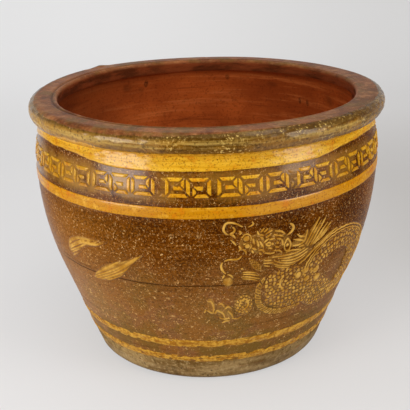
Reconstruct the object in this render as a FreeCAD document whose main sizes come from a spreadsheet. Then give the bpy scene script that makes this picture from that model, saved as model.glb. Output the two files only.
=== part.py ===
import FreeCAD, Part
import math
import os
import re
import Sketcher
from FreeCAD import Vector

# A wide open stoneware jar, luted together from separately formed pieces of clay:
# a base slab and its corner coil, two wall sections, a rolled rim, bands of yellow slip,
# a stamped key fret, and a pressed-on dragon with two cloud wisps on each side.
# Millimetres, +Z up, with the origin on the standing plane under the middle of the base.
# The front faces -Y. Angles round the jar are degrees from the front, growing towards +X.

DRIVING_SIZES = (
    ("belly_radius", 243.8, "widest outer radius of the wall"),
    ("belly_height", 283.0, "height of the widest place"),
    ("belly_arc", 410.0, "radius of the wall's curve below the widest place"),
    ("shoulder_arc", 200.0, "radius of the wall's curve above the widest place"),
    ("flank_tilt", 20.5, "lean of the straight flank, in degrees from upright"),
    ("neck_height", 345.0, "height of the wall's top edge, under the rim"),
    ("wall_thickness", 16.0, "thickness of both wall sections"),
    ("seam_height", 171.0, "height of the seam between the wall sections"),
    ("base_thickness", 22.0, "thickness of the base slab"),
    ("foot_rounding", 14.0, "rounding of the base slab's lower edge"),
    ("corner_coil", 20.0, "radius of the coil smoothed into the inside corner"),
    ("rim_height", 29.0, "height of the rolled rim"),
    ("rim_overhang", 12.0, "how far the roll stands out past its seat"),
    ("rim_equator", 17.0, "height of the roll's widest place above the neck"),
    ("rim_lap", 1.5, "how far the rim's seat laps past the collar band"),
    ("mouth_lip", 8.0, "how far the rim stands into the mouth past the wall"),
    ("lip_rounding", 6.0, "rounding of the mouth's upper edge"),
    ("lip_chamfer", 5.0, "height of the sloped underside of the mouth's lip"),
    ("collar_width", 19.0, "width of the collar band under the rim"),
    ("collar_relief", 2.0, "thickness of the collar band"),
    ("band_relief", 1.0, "thickness of the girdle and the foot bands"),
    ("girdle_width", 15.7, "width of the girdle band"),
    ("girdle_gap", 12.0, "bare ground between the fret and the girdle"),
    ("foot_band_width", 12.0, "width of each foot band"),
    ("foot_band_rise", 35.5, "height of the lower foot band's lower edge"),
    ("foot_band_gap", 16.0, "bare ground between the two foot bands"),
    ("fret_gap", 6.5, "bare ground between the collar and the fret"),
    ("fret_height", 25.0, "height of the key fret"),
    ("fret_bar", 5.0, "width of one bar of the fret"),
    ("fret_relief", 2.0, "how far the fret stands out"),
    ("fret_slot", 1.6, "ground between a spiral and its key"),
    ("fret_lane", 2.2, "ground between a key's left bar and its inner bar"),
    ("fret_end", 4.2, "ground at the free ends of the inner bars"),
    ("fret_core", 12.0, "height of the inner bars above the fret's lower edge"),
    ("fret_mitre", 0.9, "cut between two bars at a corner"),
    ("fret_space", 2.0, "least ground between two pairs of fret units"),
    ("spiral_width", 24.2, "width of a spiral, the left unit of a pair"),
    ("key_width", 30.2, "width of a key, the right unit of a pair"),
    ("fret_start", 2.6, "angle where the first pair starts, in degrees"),
    ("lay_gap", 0.1, "clearance between the wall and what is laid on it"),
    ("panel_margin", 5.5, "bare ground between the dragon's top and the girdle"),
    ("dragon_relief", 2.6, "how far the dragon stands out"),
    ("wisp_relief", 1.4, "how far the cloud wisps stand out"),
)
ALIASES = {alias for alias, value, meaning in DRIVING_SIZES}

doc = FreeCAD.newDocument("martaban_jar")
sheet = doc.addObject("Spreadsheet::Sheet", "Sizes")
for row, (alias, value, meaning) in enumerate(DRIVING_SIZES, start=1):
    sheet.set("A%d" % row, meaning)
    sheet.set("B%d" % row, str(value))
    sheet.setAlias("B%d" % row, alias)
doc.recompute()


def on_sheet(formula):
    """A formula in the sheet's words, written as an expression that any object can hold."""
    return re.sub(r"[a-z_]+", lambda word: "Sizes." * (word[0] in ALIASES) + word[0], formula)


def worth(formula):
    """The present value of a formula."""
    return float(sheet.evalExpression(on_sheet(formula)))


# The wall's outer curve
# A straight flank runs into the belly arc, and the belly arc into the shoulder arc.
# Any curve beside it is set out by an offset along the normal, inwards if negative.

def flank_top(offset):
    """Radius and height where the flank meets the belly arc."""
    arc = "(belly_arc + (%s))" % offset
    radius = "(belly_radius - belly_arc + %s * cos(flank_tilt))" % arc
    height = "(belly_height - %s * sin(flank_tilt))" % arc
    return radius, height


def curve_radius(height, offset="0"):
    """Radius of the curve at a height."""
    top_radius, top_height = flank_top(offset)
    if worth(height) <= worth(top_height):
        return "(%s - (%s - (%s)) * tan(flank_tilt))" % (top_radius, top_height, height)
    arc = "belly_arc" if worth(height) <= worth("belly_height") else "shoulder_arc"
    drop = "(belly_height - (%s))" % height
    return "(belly_radius - %s + sqrt((%s + (%s))^2 - %s^2))" % (arc, arc, offset, drop)


def curve_run(low, high, offset="0"):
    """Corners up the curve: radius, height, and the bend of the edge that leaves the corner.
    A bend is None for a straight edge, or an arc's radius and +1 for anticlockwise."""
    flank_end = flank_top(offset)[1]
    heights = [low]
    heights += [z for z in (flank_end, "belly_height") if worth(low) < worth(z) < worth(high)]
    heights.append(high)
    run = []
    for here, there in zip(heights, heights[1:] + [None]):
        bend = None
        if there and worth(there) > worth(flank_end):
            arc = "belly_arc" if worth(there) <= worth("belly_height") else "shoulder_arc"
            bend = ("(%s + (%s))" % (arc, offset), 1)
        run.append((curve_radius(here, offset), here, bend))
    return run


def backwards(run):
    """The same corners walked the other way."""
    bends = [bend and (bend[0], -bend[1]) for radius, height, bend in run[:-1]]
    corners = [(radius, height) for radius, height, bend in run]
    return [(*corner, bend) for corner, bend in zip(corners[::-1], bends[::-1] + [None])]


def edge_curve(start, end, bend):
    """The straight or bent curve between two corners of a section."""
    if bend is None:
        return Part.LineSegment(start, end)
    radius, turn = worth(bend[0]), bend[1]
    chord = end - start
    to_centre = Vector(-chord.y, chord.x, 0).normalize() * turn
    centre = (start + end) * 0.5 + to_centre * math.sqrt(radius ** 2 - (chord.Length / 2) ** 2)
    first, last = (start, end) if turn > 0 else (end, start)
    angles = [math.atan2(p.y - centre.y, p.x - centre.x) for p in (first, last)]
    if angles[1] < angles[0]:
        angles[1] += 2 * math.pi
    return Part.ArcOfCircle(Part.Circle(centre, Vector(0, 0, 1), radius), *angles)


# Pieces turned about the jar's axis

START, END = range(1, 3)
AXIS_ACROSS, AXIS_UP = range(-1, -3, -1)


def pin_down(sketch, edge, point, kind, axis, formula):
    """Ties one coordinate of a corner to a formula on the sheet."""
    if formula == "0":
        sketch.addConstraint(Sketcher.Constraint("PointOnObject", edge, point, axis))
        return
    value = worth(formula)
    index = sketch.addConstraint(Sketcher.Constraint(kind, AXIS_ACROSS, START, edge, point, value))
    sketch.setExpression("Constraints[%d]" % index, on_sheet(formula))


def turned(label, section):
    """A body turned about +Z from a closed section of corners."""
    body = doc.addObject("PartDesign::Body", label)
    sketch = body.newObject("Sketcher::SketchObject", label + "_section")
    plane = [feature for feature in body.Origin.OriginFeatures if feature.Role == "XZ_Plane"][0]
    sketch.AttachmentSupport = (plane, [""])
    sketch.MapMode = "FlatFace"
    points = [Vector(worth(radius), worth(height), 0) for radius, height, bend in section]
    ends = []
    for start, end, (radius, height, bend) in zip(points, points[1:] + points[:1], section):
        sketch.addGeometry(edge_curve(start, end, bend), False)
        ends.append((END, START) if bend and bend[1] < 0 else (START, END))
    for edge, (radius, height, bend) in enumerate(section):
        before = (edge - 1) % len(section)
        joined = (before, ends[before][1], edge, ends[edge][0])
        sketch.addConstraint(Sketcher.Constraint("Coincident", *joined))
        pin_down(sketch, edge, ends[edge][0], "DistanceX", AXIS_UP, radius)
        pin_down(sketch, edge, ends[edge][0], "DistanceY", AXIS_ACROSS, height)
        if bend:
            index = sketch.addConstraint(Sketcher.Constraint("Radius", edge, worth(bend[0])))
            sketch.setExpression("Constraints[%d]" % index, on_sheet(bend[0]))
    revolution = body.newObject("PartDesign::Revolution", label + "_turned")
    revolution.Profile = sketch
    revolution.ReferenceAxis = (sketch, ["V_Axis"])
    revolution.Angle = 360
    return body


INNER = "-wall_thickness"
RIM_TOP = "(neck_height + rim_height)"
GIRDLE_TOP = "(neck_height - collar_width - fret_gap - fret_height - girdle_gap)"
GIRDLE_LOW = "(%s - girdle_width)" % GIRDLE_TOP
UPPER_BAND_LOW = "(foot_band_rise + foot_band_width + foot_band_gap)"
PANEL_LOW = "(%s + foot_band_width)" % UPPER_BAND_LOW


def base_slab():
    """The round slab that the wall stands on, with a rounded lower edge."""
    centre = "(%s - foot_rounding / cos(flank_tilt))" % curve_radius("foot_rounding")
    rounded_radius = "(%s + foot_rounding * cos(flank_tilt))" % centre
    rounded_height = "(foot_rounding - foot_rounding * sin(flank_tilt))"
    return turned("base_slab", [
        ("0", "0", None),
        (centre, "0", ("foot_rounding", 1)),
        (rounded_radius, rounded_height, None),
        (curve_radius("base_thickness"), "base_thickness", None),
        ("0", "base_thickness", None)])


def floor_coil():
    """The coil of clay smoothed into the corner between the slab and the wall."""
    centre_height = "(base_thickness + corner_coil)"
    centre = "(%s - corner_coil / cos(flank_tilt))" % curve_radius(centre_height, INNER)
    return turned("floor_coil", [
        (centre, "base_thickness", None),
        (curve_radius("base_thickness", INNER), "base_thickness", None),
        ("(%s + corner_coil * cos(flank_tilt))" % centre,
         "(%s - corner_coil * sin(flank_tilt))" % centre_height, ("corner_coil", -1))])


def rim_roll():
    """The rolled rim, seated on the wall's top edge and lapping over the collar band."""
    throat = curve_radius("neck_height", INNER)
    mouth = "(%s - mouth_lip)" % throat
    seat = "(%s + rim_lap)" % curve_radius("neck_height", "collar_relief")
    widest = "(%s + rim_overhang)" % seat
    upper_roll = "(rim_height - rim_equator)"
    lower_roll = "((rim_overhang^2 + rim_equator^2) / (2 * rim_overhang))"
    return turned("rim_roll", [
        (throat, "neck_height", None),
        (seat, "neck_height", (lower_roll, 1)),
        (widest, "(neck_height + rim_equator)", (upper_roll, 1)),
        ("(%s - %s)" % (widest, upper_roll), RIM_TOP, None),
        ("(%s + lip_rounding)" % mouth, RIM_TOP, ("lip_rounding", 1)),
        (mouth, "(%s - lip_rounding)" % RIM_TOP, None),
        (mouth, "(neck_height + lip_chamfer)", None)])


def wall_section(label, low, high):
    """One section of the wall, with flat edges where it meets its neighbours."""
    return turned(label, curve_run(low, high) + backwards(curve_run(low, high, INNER)))


def band(label, low, width, relief):
    """A band of slip lying on the wall."""
    high = "(%s + %s)" % (low, width)
    return turned(label, curve_run(low, high, relief) + backwards(curve_run(low, high, "lay_gap")))


pieces = [
    base_slab(),
    floor_coil(),
    wall_section("lower_wall", "base_thickness", "seam_height"),
    wall_section("upper_wall", "seam_height", "neck_height"),
    rim_roll(),
    band("collar_band", "(neck_height - collar_width)", "collar_width", "collar_relief"),
    band("girdle_band", GIRDLE_LOW, "girdle_width", "band_relief"),
    band("foot_band_upper", UPPER_BAND_LOW, "foot_band_width", "band_relief"),
    band("foot_band_lower", "foot_band_rise", "foot_band_width", "band_relief"),
]


# Relief pressed on to the wall
# A flat outline is pushed straight at the wall, facing the front, and kept inside a relief layer:
# the space between a curve that clears the wall and a curve set out by the relief.

UPRIGHT = Vector(0, 0, 1)
MIDDLE = Vector(0, 0, 0)
REACH = worth("belly_radius") * 1.2


def relief_layer(low, high, relief):
    """A full ring that lies on the wall between two heights."""
    section = curve_run(low, high, relief) + backwards(curve_run(low, high, "lay_gap"))
    points = [Vector(worth(radius), worth(height), 0) for radius, height, bend in section]
    corners = zip(points, points[1:] + points[:1], section)
    edges = [edge_curve(start, end, corner[2]).toShape() for start, end, corner in corners]
    face = Part.Face(Part.Wire(edges))
    face.rotate(MIDDLE, Vector(1, 0, 0), 90)
    return face.revolve(MIDDLE, UPRIGHT, 360)


def stamp(edges, angle):
    """A closed flat outline pushed straight out through the wall, turned to its angle."""
    push = Part.Face(Part.Wire(edges)).extrude(Vector(0, -REACH, 0))
    push.rotate(MIDDLE, UPRIGHT, angle)
    return push


def turned_copy(shape, angle):
    """A copy of a shape, turned round the jar."""
    copy = shape.copy()
    copy.rotate(MIDDLE, UPRIGHT, angle)
    return copy


def group(label, shapes):
    """One named node that holds one solid, or a group of separate solids."""
    solids = [solid for shape in shapes for solid in shape.Solids]
    piece = doc.addObject("Part::Feature", label)
    piece.Shape = solids[0] if len(solids) == 1 else Part.makeCompound(solids)
    return piece


# The key fret
# One stroke winds in from a spiral's free end, runs on under it and winds into the key beside it.
# Its corners are cut into mitres, so each straight stretch is a bar by itself.

def fret_path():
    """Corners of the stroke's centre line, across and up from the pair's lower left corner."""
    bar, height, core, end = [worth(name) for name in ("fret_bar", "fret_height", "fret_core", "fret_end")]
    half = bar / 2
    top, low = height - half, half
    spiral_right = worth("spiral_width") - half
    key_left = worth("spiral_width + fret_slot") + half
    key_right = worth("spiral_width + fret_slot + key_width") - half
    inner_left = key_left + bar + worth("fret_lane")
    spiral = [(bar + end, core), (spiral_right, core), (spiral_right, top), (half, top), (half, low)]
    key = [(key_left, low), (key_left, top), (key_right, top), (key_right, low),
           (inner_left, low), (inner_left, core), (key_right - half - end, core)]
    return [Vector(across, 0, up) for across, up in spiral + key]


def bar_outline(path, index):
    """Four corners of the bar that leaves a corner of the path, with its mitres cut."""
    half, cut = worth("fret_bar / 2"), worth("fret_mitre") / math.sqrt(2)
    start, end = path[index], path[index + 1]
    along = (end - start).normalize()
    left = Vector(-along.z, 0, along.x)
    slopes = []
    for before, corner, after in ((index - 1, index, index + 1), (index, index + 1, index + 2)):
        free = before < 0 or after >= len(path)
        turn = 0 if free else (path[corner] - path[before]).cross(path[after] - path[corner]).y
        slopes.append(0 if turn == 0 else math.copysign(half, -turn))
    trims = [cut if slope else 0 for slope in slopes]
    return [start + left * half + along * (slopes[0] + trims[0]),
            start - left * half + along * (trims[0] - slopes[0]),
            end - left * half + along * (slopes[1] - trims[1]),
            end + left * half - along * (slopes[1] + trims[1])]


FRET_LOW = "(%s + girdle_gap)" % GIRDLE_TOP
SPIRAL_BARS = 5
pair_width = worth("spiral_width + fret_slot + key_width")
fret_girth = 2 * math.pi * worth(curve_radius(FRET_LOW))
fret_pairs = int(fret_girth / (pair_width + worth("fret_space")))
pair_start = worth("fret_start") + math.degrees(pair_width * math.pi / fret_girth)
fret_layer = relief_layer(FRET_LOW, "(%s + fret_height)" % FRET_LOW, "fret_relief")
path = fret_path()
bars = []
for index in range(len(path) - 1):
    corners = [corner + Vector(-pair_width / 2, 0, worth(FRET_LOW)) for corner in bar_outline(path, index)]
    bars.append(fret_layer.common(stamp(Part.makePolygon(corners + corners[:1]).Edges, pair_start)))
turns = [pair * 360 / fret_pairs for pair in range(fret_pairs)]
for label, unit in (("fret_spirals", bars[:SPIRAL_BARS]), ("fret_keys", bars[SPIRAL_BARS:])):
    pieces.append(group(label, [turned_copy(bar, turn) for turn in turns for bar in unit]))


# The dragon and the cloud wisps
# Points give the angle round the jar and the height above the upper foot band. A stroke's points
# also give half its width, and a stroke narrows to a point where that is nothing.
# The drawing is fitted to the panel between the upper foot band and the girdle.

panel_low = worth(PANEL_LOW)
dragon_layer = relief_layer(PANEL_LOW, GIRDLE_LOW, "dragon_relief")
wisp_layer = relief_layer(PANEL_LOW, GIRDLE_LOW, "wisp_relief")


def spot(angle, rise, facing):
    """A drawn point on a flat sheet in front of the wall, seen from the angle that it faces."""
    height = panel_low + rise * drawing_scale
    radius = worth(curve_radius("%.6f" % height))
    return Vector(radius * math.sin(math.radians(angle - facing)), 0, height)


def smooth_edge(points):
    """One smooth edge through a few points."""
    curve = Part.BSplineCurve()
    curve.interpolate(points)
    return curve.toShape()


def patch(points):
    """The stamp of a rounded patch inside a closed smooth outline."""
    facing = sum(angle for angle, rise in points) / len(points)
    curve = Part.BSplineCurve()
    curve.interpolate([spot(angle, rise, facing) for angle, rise in points], PeriodicFlag=True)
    return stamp([curve.toShape()], facing)


def disc(angle, rise, radius):
    """The stamp of a round pellet."""
    circle = Part.Circle(spot(angle, rise, angle), Vector(0, 1, 0), radius * drawing_scale)
    return stamp([circle.toShape()], angle)


def stroke(points):
    """The stamp of a stroke along a smooth line, as wide at each point as drawn."""
    facing = sum(angle for angle, rise, half in points) / len(points)
    line = [spot(angle, rise, facing) for angle, rise, half in points]
    halves = [half * drawing_scale for angle, rise, half in points]
    ahead = [b - a for a, b in zip(line[:1] + line[:-1], line[1:] + line[-1:])]
    across = [Vector(-step.z, 0, step.x).normalize() for step in ahead]
    left = [p + n * half for p, n, half in zip(line, across, halves)]
    right = [p - n * half for p, n, half in zip(line, across, halves)]
    edges = [smooth_edge(left), smooth_edge(right)]
    for half, a, b in ((halves[0], left[0], right[0]), (halves[-1], left[-1], right[-1])):
        if half > 0:
            edges.append(Part.LineSegment(a, b).toShape())
    return stamp(Part.__sortEdges__(edges), facing)


DRAGON = (
    ("head", patch, [[(7.6, 156), (9.6, 168.5), (13.5, 170), (17, 175), (21.5, 170), (25, 158),
                      (25.3, 146), (22.5, 140.5), (17, 136.5), (13, 141), (9.2, 145.5)]]),
    ("nose_flame", stroke, [[(10, 179.5, 0), (8.2, 184, 1.8), (6, 185.8, 2.2), (4.5, 182.5, 2.2),
                             (4.3, 177, 2.4), (5.3, 172.5, 2), (7, 169.8, 0)]]),
    ("horn", stroke, [[(24.6, 161.5, 0), (25.9, 163.5, 1.6), (26.2, 168, 2.2), (25.7, 172.5, 1.8),
                       (24.7, 175.5, 0)]]),
    ("whisker", stroke, [[(9.8, 139.5, 0), (8.8, 136, 1.5), (6.5, 134.8, 1.6), (4.6, 133, 1.6),
                          (3.7, 127.5, 1.8), (3.9, 121, 1.6), (5, 115.5, 0)]]),
    ("pearl", disc, [(5.9, 103, 8.5)]),
    ("neck", stroke, [[(17.2, 128, 4), (21, 126.5, 8.5), (25.5, 124.5, 10.5), (30, 125, 12),
                       (33, 128, 13)]]),
    ("mane", stroke, [[(28, 144, 3), (30.3, 148, 3.4), (31.2, 155, 2.6), (30.6, 163.5, 0)],
                      [(32, 157, 3), (33.5, 166, 3.2), (36, 175.5, 0)],
                      [(34, 154, 3), (36.6, 162.5, 3), (40, 171, 0)],
                      [(34.6, 146.5, 2.6), (37.3, 154.5, 2.6), (40.4, 161, 0)]]),
    ("arch", stroke, [[(31.5, 126.5, 12.5), (37, 134, 15), (42, 137, 16.5), (47, 136, 17.5), (52, 129.5, 18),
                       (56.5, 116, 18), (59, 97, 17), (59, 77, 16), (56, 60, 15), (51, 50, 13)]]),
    ("belly_plates", stroke, [[(17.4, 95, 3), (16.6, 84, 4.6), (16.6, 72, 5), (17.4, 60, 5),
                               (20, 49.5, 5), (24.5, 43, 5.4), (29.5, 41, 4.6), (34, 42, 3)]]),
    ("coil", patch, [[(18, 95), (20.5, 105.5), (25, 109.5), (31, 107), (36.5, 110), (41, 106),
                      (42.3, 95), (41, 82), (44, 70), (46.5, 57), (44, 44), (38, 39), (30, 41),
                      (22, 46), (17.8, 58), (17, 76)]]),
    ("fore_claws", stroke, [[(16.2, 128, 0), (15.4, 122.5, 2.4), (14.4, 117.5, 2)],
                            [(9.8, 115, 0), (12.4, 114.4, 1.5), (15, 112, 0)],
                            [(9.8, 111.2, 0), (12.4, 110.2, 1.5), (15.3, 107.2, 0)],
                            [(10, 107.2, 0), (12.6, 106.2, 1.5), (15.6, 103, 0)]]),
    ("haunch", patch, [[(8, 65), (9.4, 75), (12, 79), (14.2, 74), (14.6, 63), (13.4, 52), (11, 48),
                        (8.8, 53)]]),
    ("hind_claws", stroke, [[(4, 67, 0), (4.4, 58, 2), (5.6, 46, 0)],
                            [(6.2, 57, 0), (6.8, 52, 1.7), (7.9, 45.5, 0)],
                            [(3.9, 43.5, 0), (5.6, 42, 1.8), (7.6, 42.6, 0)]]),
    ("tail_leaf", stroke, [[(0.2, 74.5, 0), (0.5, 67, 3.4), (0.8, 59, 3.4), (1.1, 50, 0)]]),
)
WISPS = (
    ("wisp_left", [(-56, 111, 2), (-52, 121, 10.5), (-47.5, 132, 12), (-42.5, 140, 8), (-38, 144.5, 5),
                   (-33.5, 149, 0)]),
    ("wisp_right", [(-42, 86.5, 1.5), (-39, 93, 8), (-34.5, 103, 12), (-30, 112.5, 11), (-26, 123, 7),
                    (-22.5, 133, 4), (-19.5, 141.5, 0)]),
)
SIDES = (("front", 0), ("back", 180))
drawn_strokes = [points for name, make, drawings in DRAGON if make is stroke for points in drawings]
drawn_top = max(rise for points in drawn_strokes for angle, rise, half in points)
drawing_scale = (worth(GIRDLE_LOW) - panel_low - worth("panel_margin")) / drawn_top

# Where two pieces of the dragon meet, the later one is cut to the edge of the earlier one.
relief_pieces = []
laid = []
for name, make, drawings in DRAGON:
    shapes = []
    for drawing in drawings:
        outline = make(*drawing) if make is disc else make(drawing)
        shape = dragon_layer.common(outline)
        earlier = [cutter for cutter, box in laid if box.intersect(shape.BoundBox)]
        shapes.append(shape.cut(earlier) if earlier else shape)
        laid.append((outline, shape.BoundBox))
    relief_pieces.append(("dragon_" + name, shapes))
for name, drawing in WISPS:
    relief_pieces.append((name, [wisp_layer.common(stroke(drawing))]))
for side, turn in SIDES:
    for name, shapes in relief_pieces:
        pieces.append(group("%s_%s" % (side, name), [turned_copy(shape, turn) for shape in shapes]))


# Checks, then one file for each piece

doc.recompute()
for thing in doc.Objects:
    if {"Invalid", "Error"} & set(thing.State):
        raise RuntimeError("%s failed: %s" % (thing.Label, thing.State))
os.makedirs("parts", exist_ok=True)
for piece in pieces:
    if piece.Shape.isNull() or not piece.Shape.isValid():
        raise RuntimeError("%s has no valid shape" % piece.Label)
    piece.Shape.exportStep("parts/%s.step" % piece.Label)
    print("%-28s %3d solids %12.1f mm3" % (piece.Label, len(piece.Shape.Solids), piece.Shape.Volume))
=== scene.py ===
# %% [markdown]
# # A wide dragon jar
# The jar is stoneware: a slab, two wall sections and a rolled rim luted together, with bands of yellow slip,
# a stamped key fret and a dragon pressed on in low relief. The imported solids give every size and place. This
# lesson models each piece again as the potter left it, uneven and glazed, where its solid stands.

# %% Load the solids
import math

import bmesh
import bpy
import numpy as np
from mathutils import Matrix, Vector


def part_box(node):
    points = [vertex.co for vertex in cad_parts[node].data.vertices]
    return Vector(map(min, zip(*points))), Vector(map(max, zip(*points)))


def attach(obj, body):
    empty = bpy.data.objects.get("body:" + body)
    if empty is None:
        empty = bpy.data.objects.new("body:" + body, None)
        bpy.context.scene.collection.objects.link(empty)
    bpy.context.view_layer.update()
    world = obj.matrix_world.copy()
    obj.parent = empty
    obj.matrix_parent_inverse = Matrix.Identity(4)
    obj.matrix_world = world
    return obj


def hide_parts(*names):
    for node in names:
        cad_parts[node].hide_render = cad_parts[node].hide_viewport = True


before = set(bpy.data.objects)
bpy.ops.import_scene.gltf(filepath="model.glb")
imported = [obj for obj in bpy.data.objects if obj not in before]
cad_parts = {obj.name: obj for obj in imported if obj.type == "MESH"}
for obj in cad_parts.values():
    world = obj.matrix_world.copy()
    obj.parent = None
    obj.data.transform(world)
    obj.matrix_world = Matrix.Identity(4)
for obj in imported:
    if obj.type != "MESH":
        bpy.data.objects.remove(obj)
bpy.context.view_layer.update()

# %% [markdown]
# ## The wall's curve
# Every piece lies on one curve: a straight flank, a belly arc and a shoulder arc. Written once as a function
# of height, it can place the walls, the bands and the relief alike. A second function adds what a hand-made
# wall strays from it, so that all pieces stray together and stay seated.

# %% The curve and the hand
MM = 0.001
BELLY_HEIGHT = 283 * MM
BELLY_ARC = 410 * MM
SHOULDER_ARC = 200 * MM
FLANK_TILT = math.radians(20.5)
WALL = 16 * MM
BELLY_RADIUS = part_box("upper_wall")[1].x
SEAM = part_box("upper_wall")[0].z
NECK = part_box("upper_wall")[1].z
SLAB_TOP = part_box("base_slab")[1].z
RIM_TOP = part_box("rim_roll")[1].z
THROWING_PITCH = 13 * MM
LEAN = 0.013
LEAN_PIVOT = 215 * MM


def wall_radius(height, offset=0.0):
    """Radius of the wall's outer curve at a height, or of a curve set out from it."""
    height = np.asarray(height, float)
    low_arc = BELLY_ARC + offset
    flank_top = BELLY_HEIGHT - low_arc * math.sin(FLANK_TILT)
    flank_reach = BELLY_RADIUS - BELLY_ARC + low_arc * math.cos(FLANK_TILT)
    flank = flank_reach - (flank_top - height) * math.tan(FLANK_TILT)
    arc = np.where(height > BELLY_HEIGHT, SHOULDER_ARC, BELLY_ARC)
    square = (arc + offset) ** 2 - (BELLY_HEIGHT - height) ** 2
    bow = BELLY_RADIUS - arc + np.sqrt(np.maximum(square, 0))
    return np.where(height < flank_top, flank, bow)


def hand(angle, height):
    """How far the hand-made wall strays from its curve."""
    sway = 0.5 * np.sin(2 * angle + 0.4) + 0.35 * np.sin(3 * angle + 9 * height + 1.9)
    rings = 0.1 * np.sin(2 * np.pi * height / THROWING_PITCH + np.sin(angle))
    return (sway + rings) * MM


def around(angle, radius, height):
    """Places at an angle from the front, growing towards +X, on an axis that leans a little."""
    lean = LEAN * (height - LEAN_PIVOT)
    return np.column_stack([radius * np.sin(angle) + lean, -radius * np.cos(angle), height])


print("neck radius:", float(wall_radius(NECK)), "foot radius:", float(wall_radius(0)))

# %% [markdown]
# ## A way to write finishes
# A finish is a tree of shader nodes. Built by hand it is a long list of clicks, and in plain Python a long
# list of links. A small class that wraps a socket lets the sums be written as sums, and one method adds every
# other node from its type, its settings and its sockets. Most finishes are coats of colour laid over one
# another, so another method lays them from a list.

# %% Colours and sockets
def paint(red, green, blue):
    """A linear colour from the screen colour that a photo editor shows."""
    def linear(level):
        share = level / 255
        return share / 12.92 if share <= 0.04045 else ((share + 0.055) / 1.055) ** 2.4
    return (linear(red), linear(green), linear(blue), 1.0)


class Shade:
    """A socket that Python's operators can work on."""

    def __init__(self, finish, socket):
        self.finish = finish
        self.socket = socket

    def maths(self, operation, *values):
        return self.finish.node("ShaderNodeMath", {"operation": operation}, values)

    def __add__(self, other):
        return self.maths("ADD", self, other)

    def __sub__(self, other):
        return self.maths("SUBTRACT", self, other)

    def __rsub__(self, other):
        return self.maths("SUBTRACT", other, self)

    def __mul__(self, other):
        return self.maths("MULTIPLY", self, other)

    def __abs__(self):
        return self.maths("ABSOLUTE", self)

    __radd__ = __add__
    __rmul__ = __mul__


print("a mid brown is", [round(level, 3) for level in paint(120, 75, 25)])

# %% [markdown]
# ## Thick and thin glaze
# A glaze mirrors the room most where it ran together thick. On the shoulder that is in three runs, so a clear
# coat lies on them alone, and everywhere else the shine is weak and tinted amber by the glaze.

# %% Finishes
AMBER = (1.0, 0.74, 0.36, 1.0)
GLASSY_RUNS = ((-0.115, 0.08), (0.105, 0.075), (-0.248, 0.042))
GLASSY_FROM, GLASSY_FULL = 0.255, 0.285
COAT_WEIGHT = 0.7
COAT_ROUGHNESS = 0.2


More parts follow.
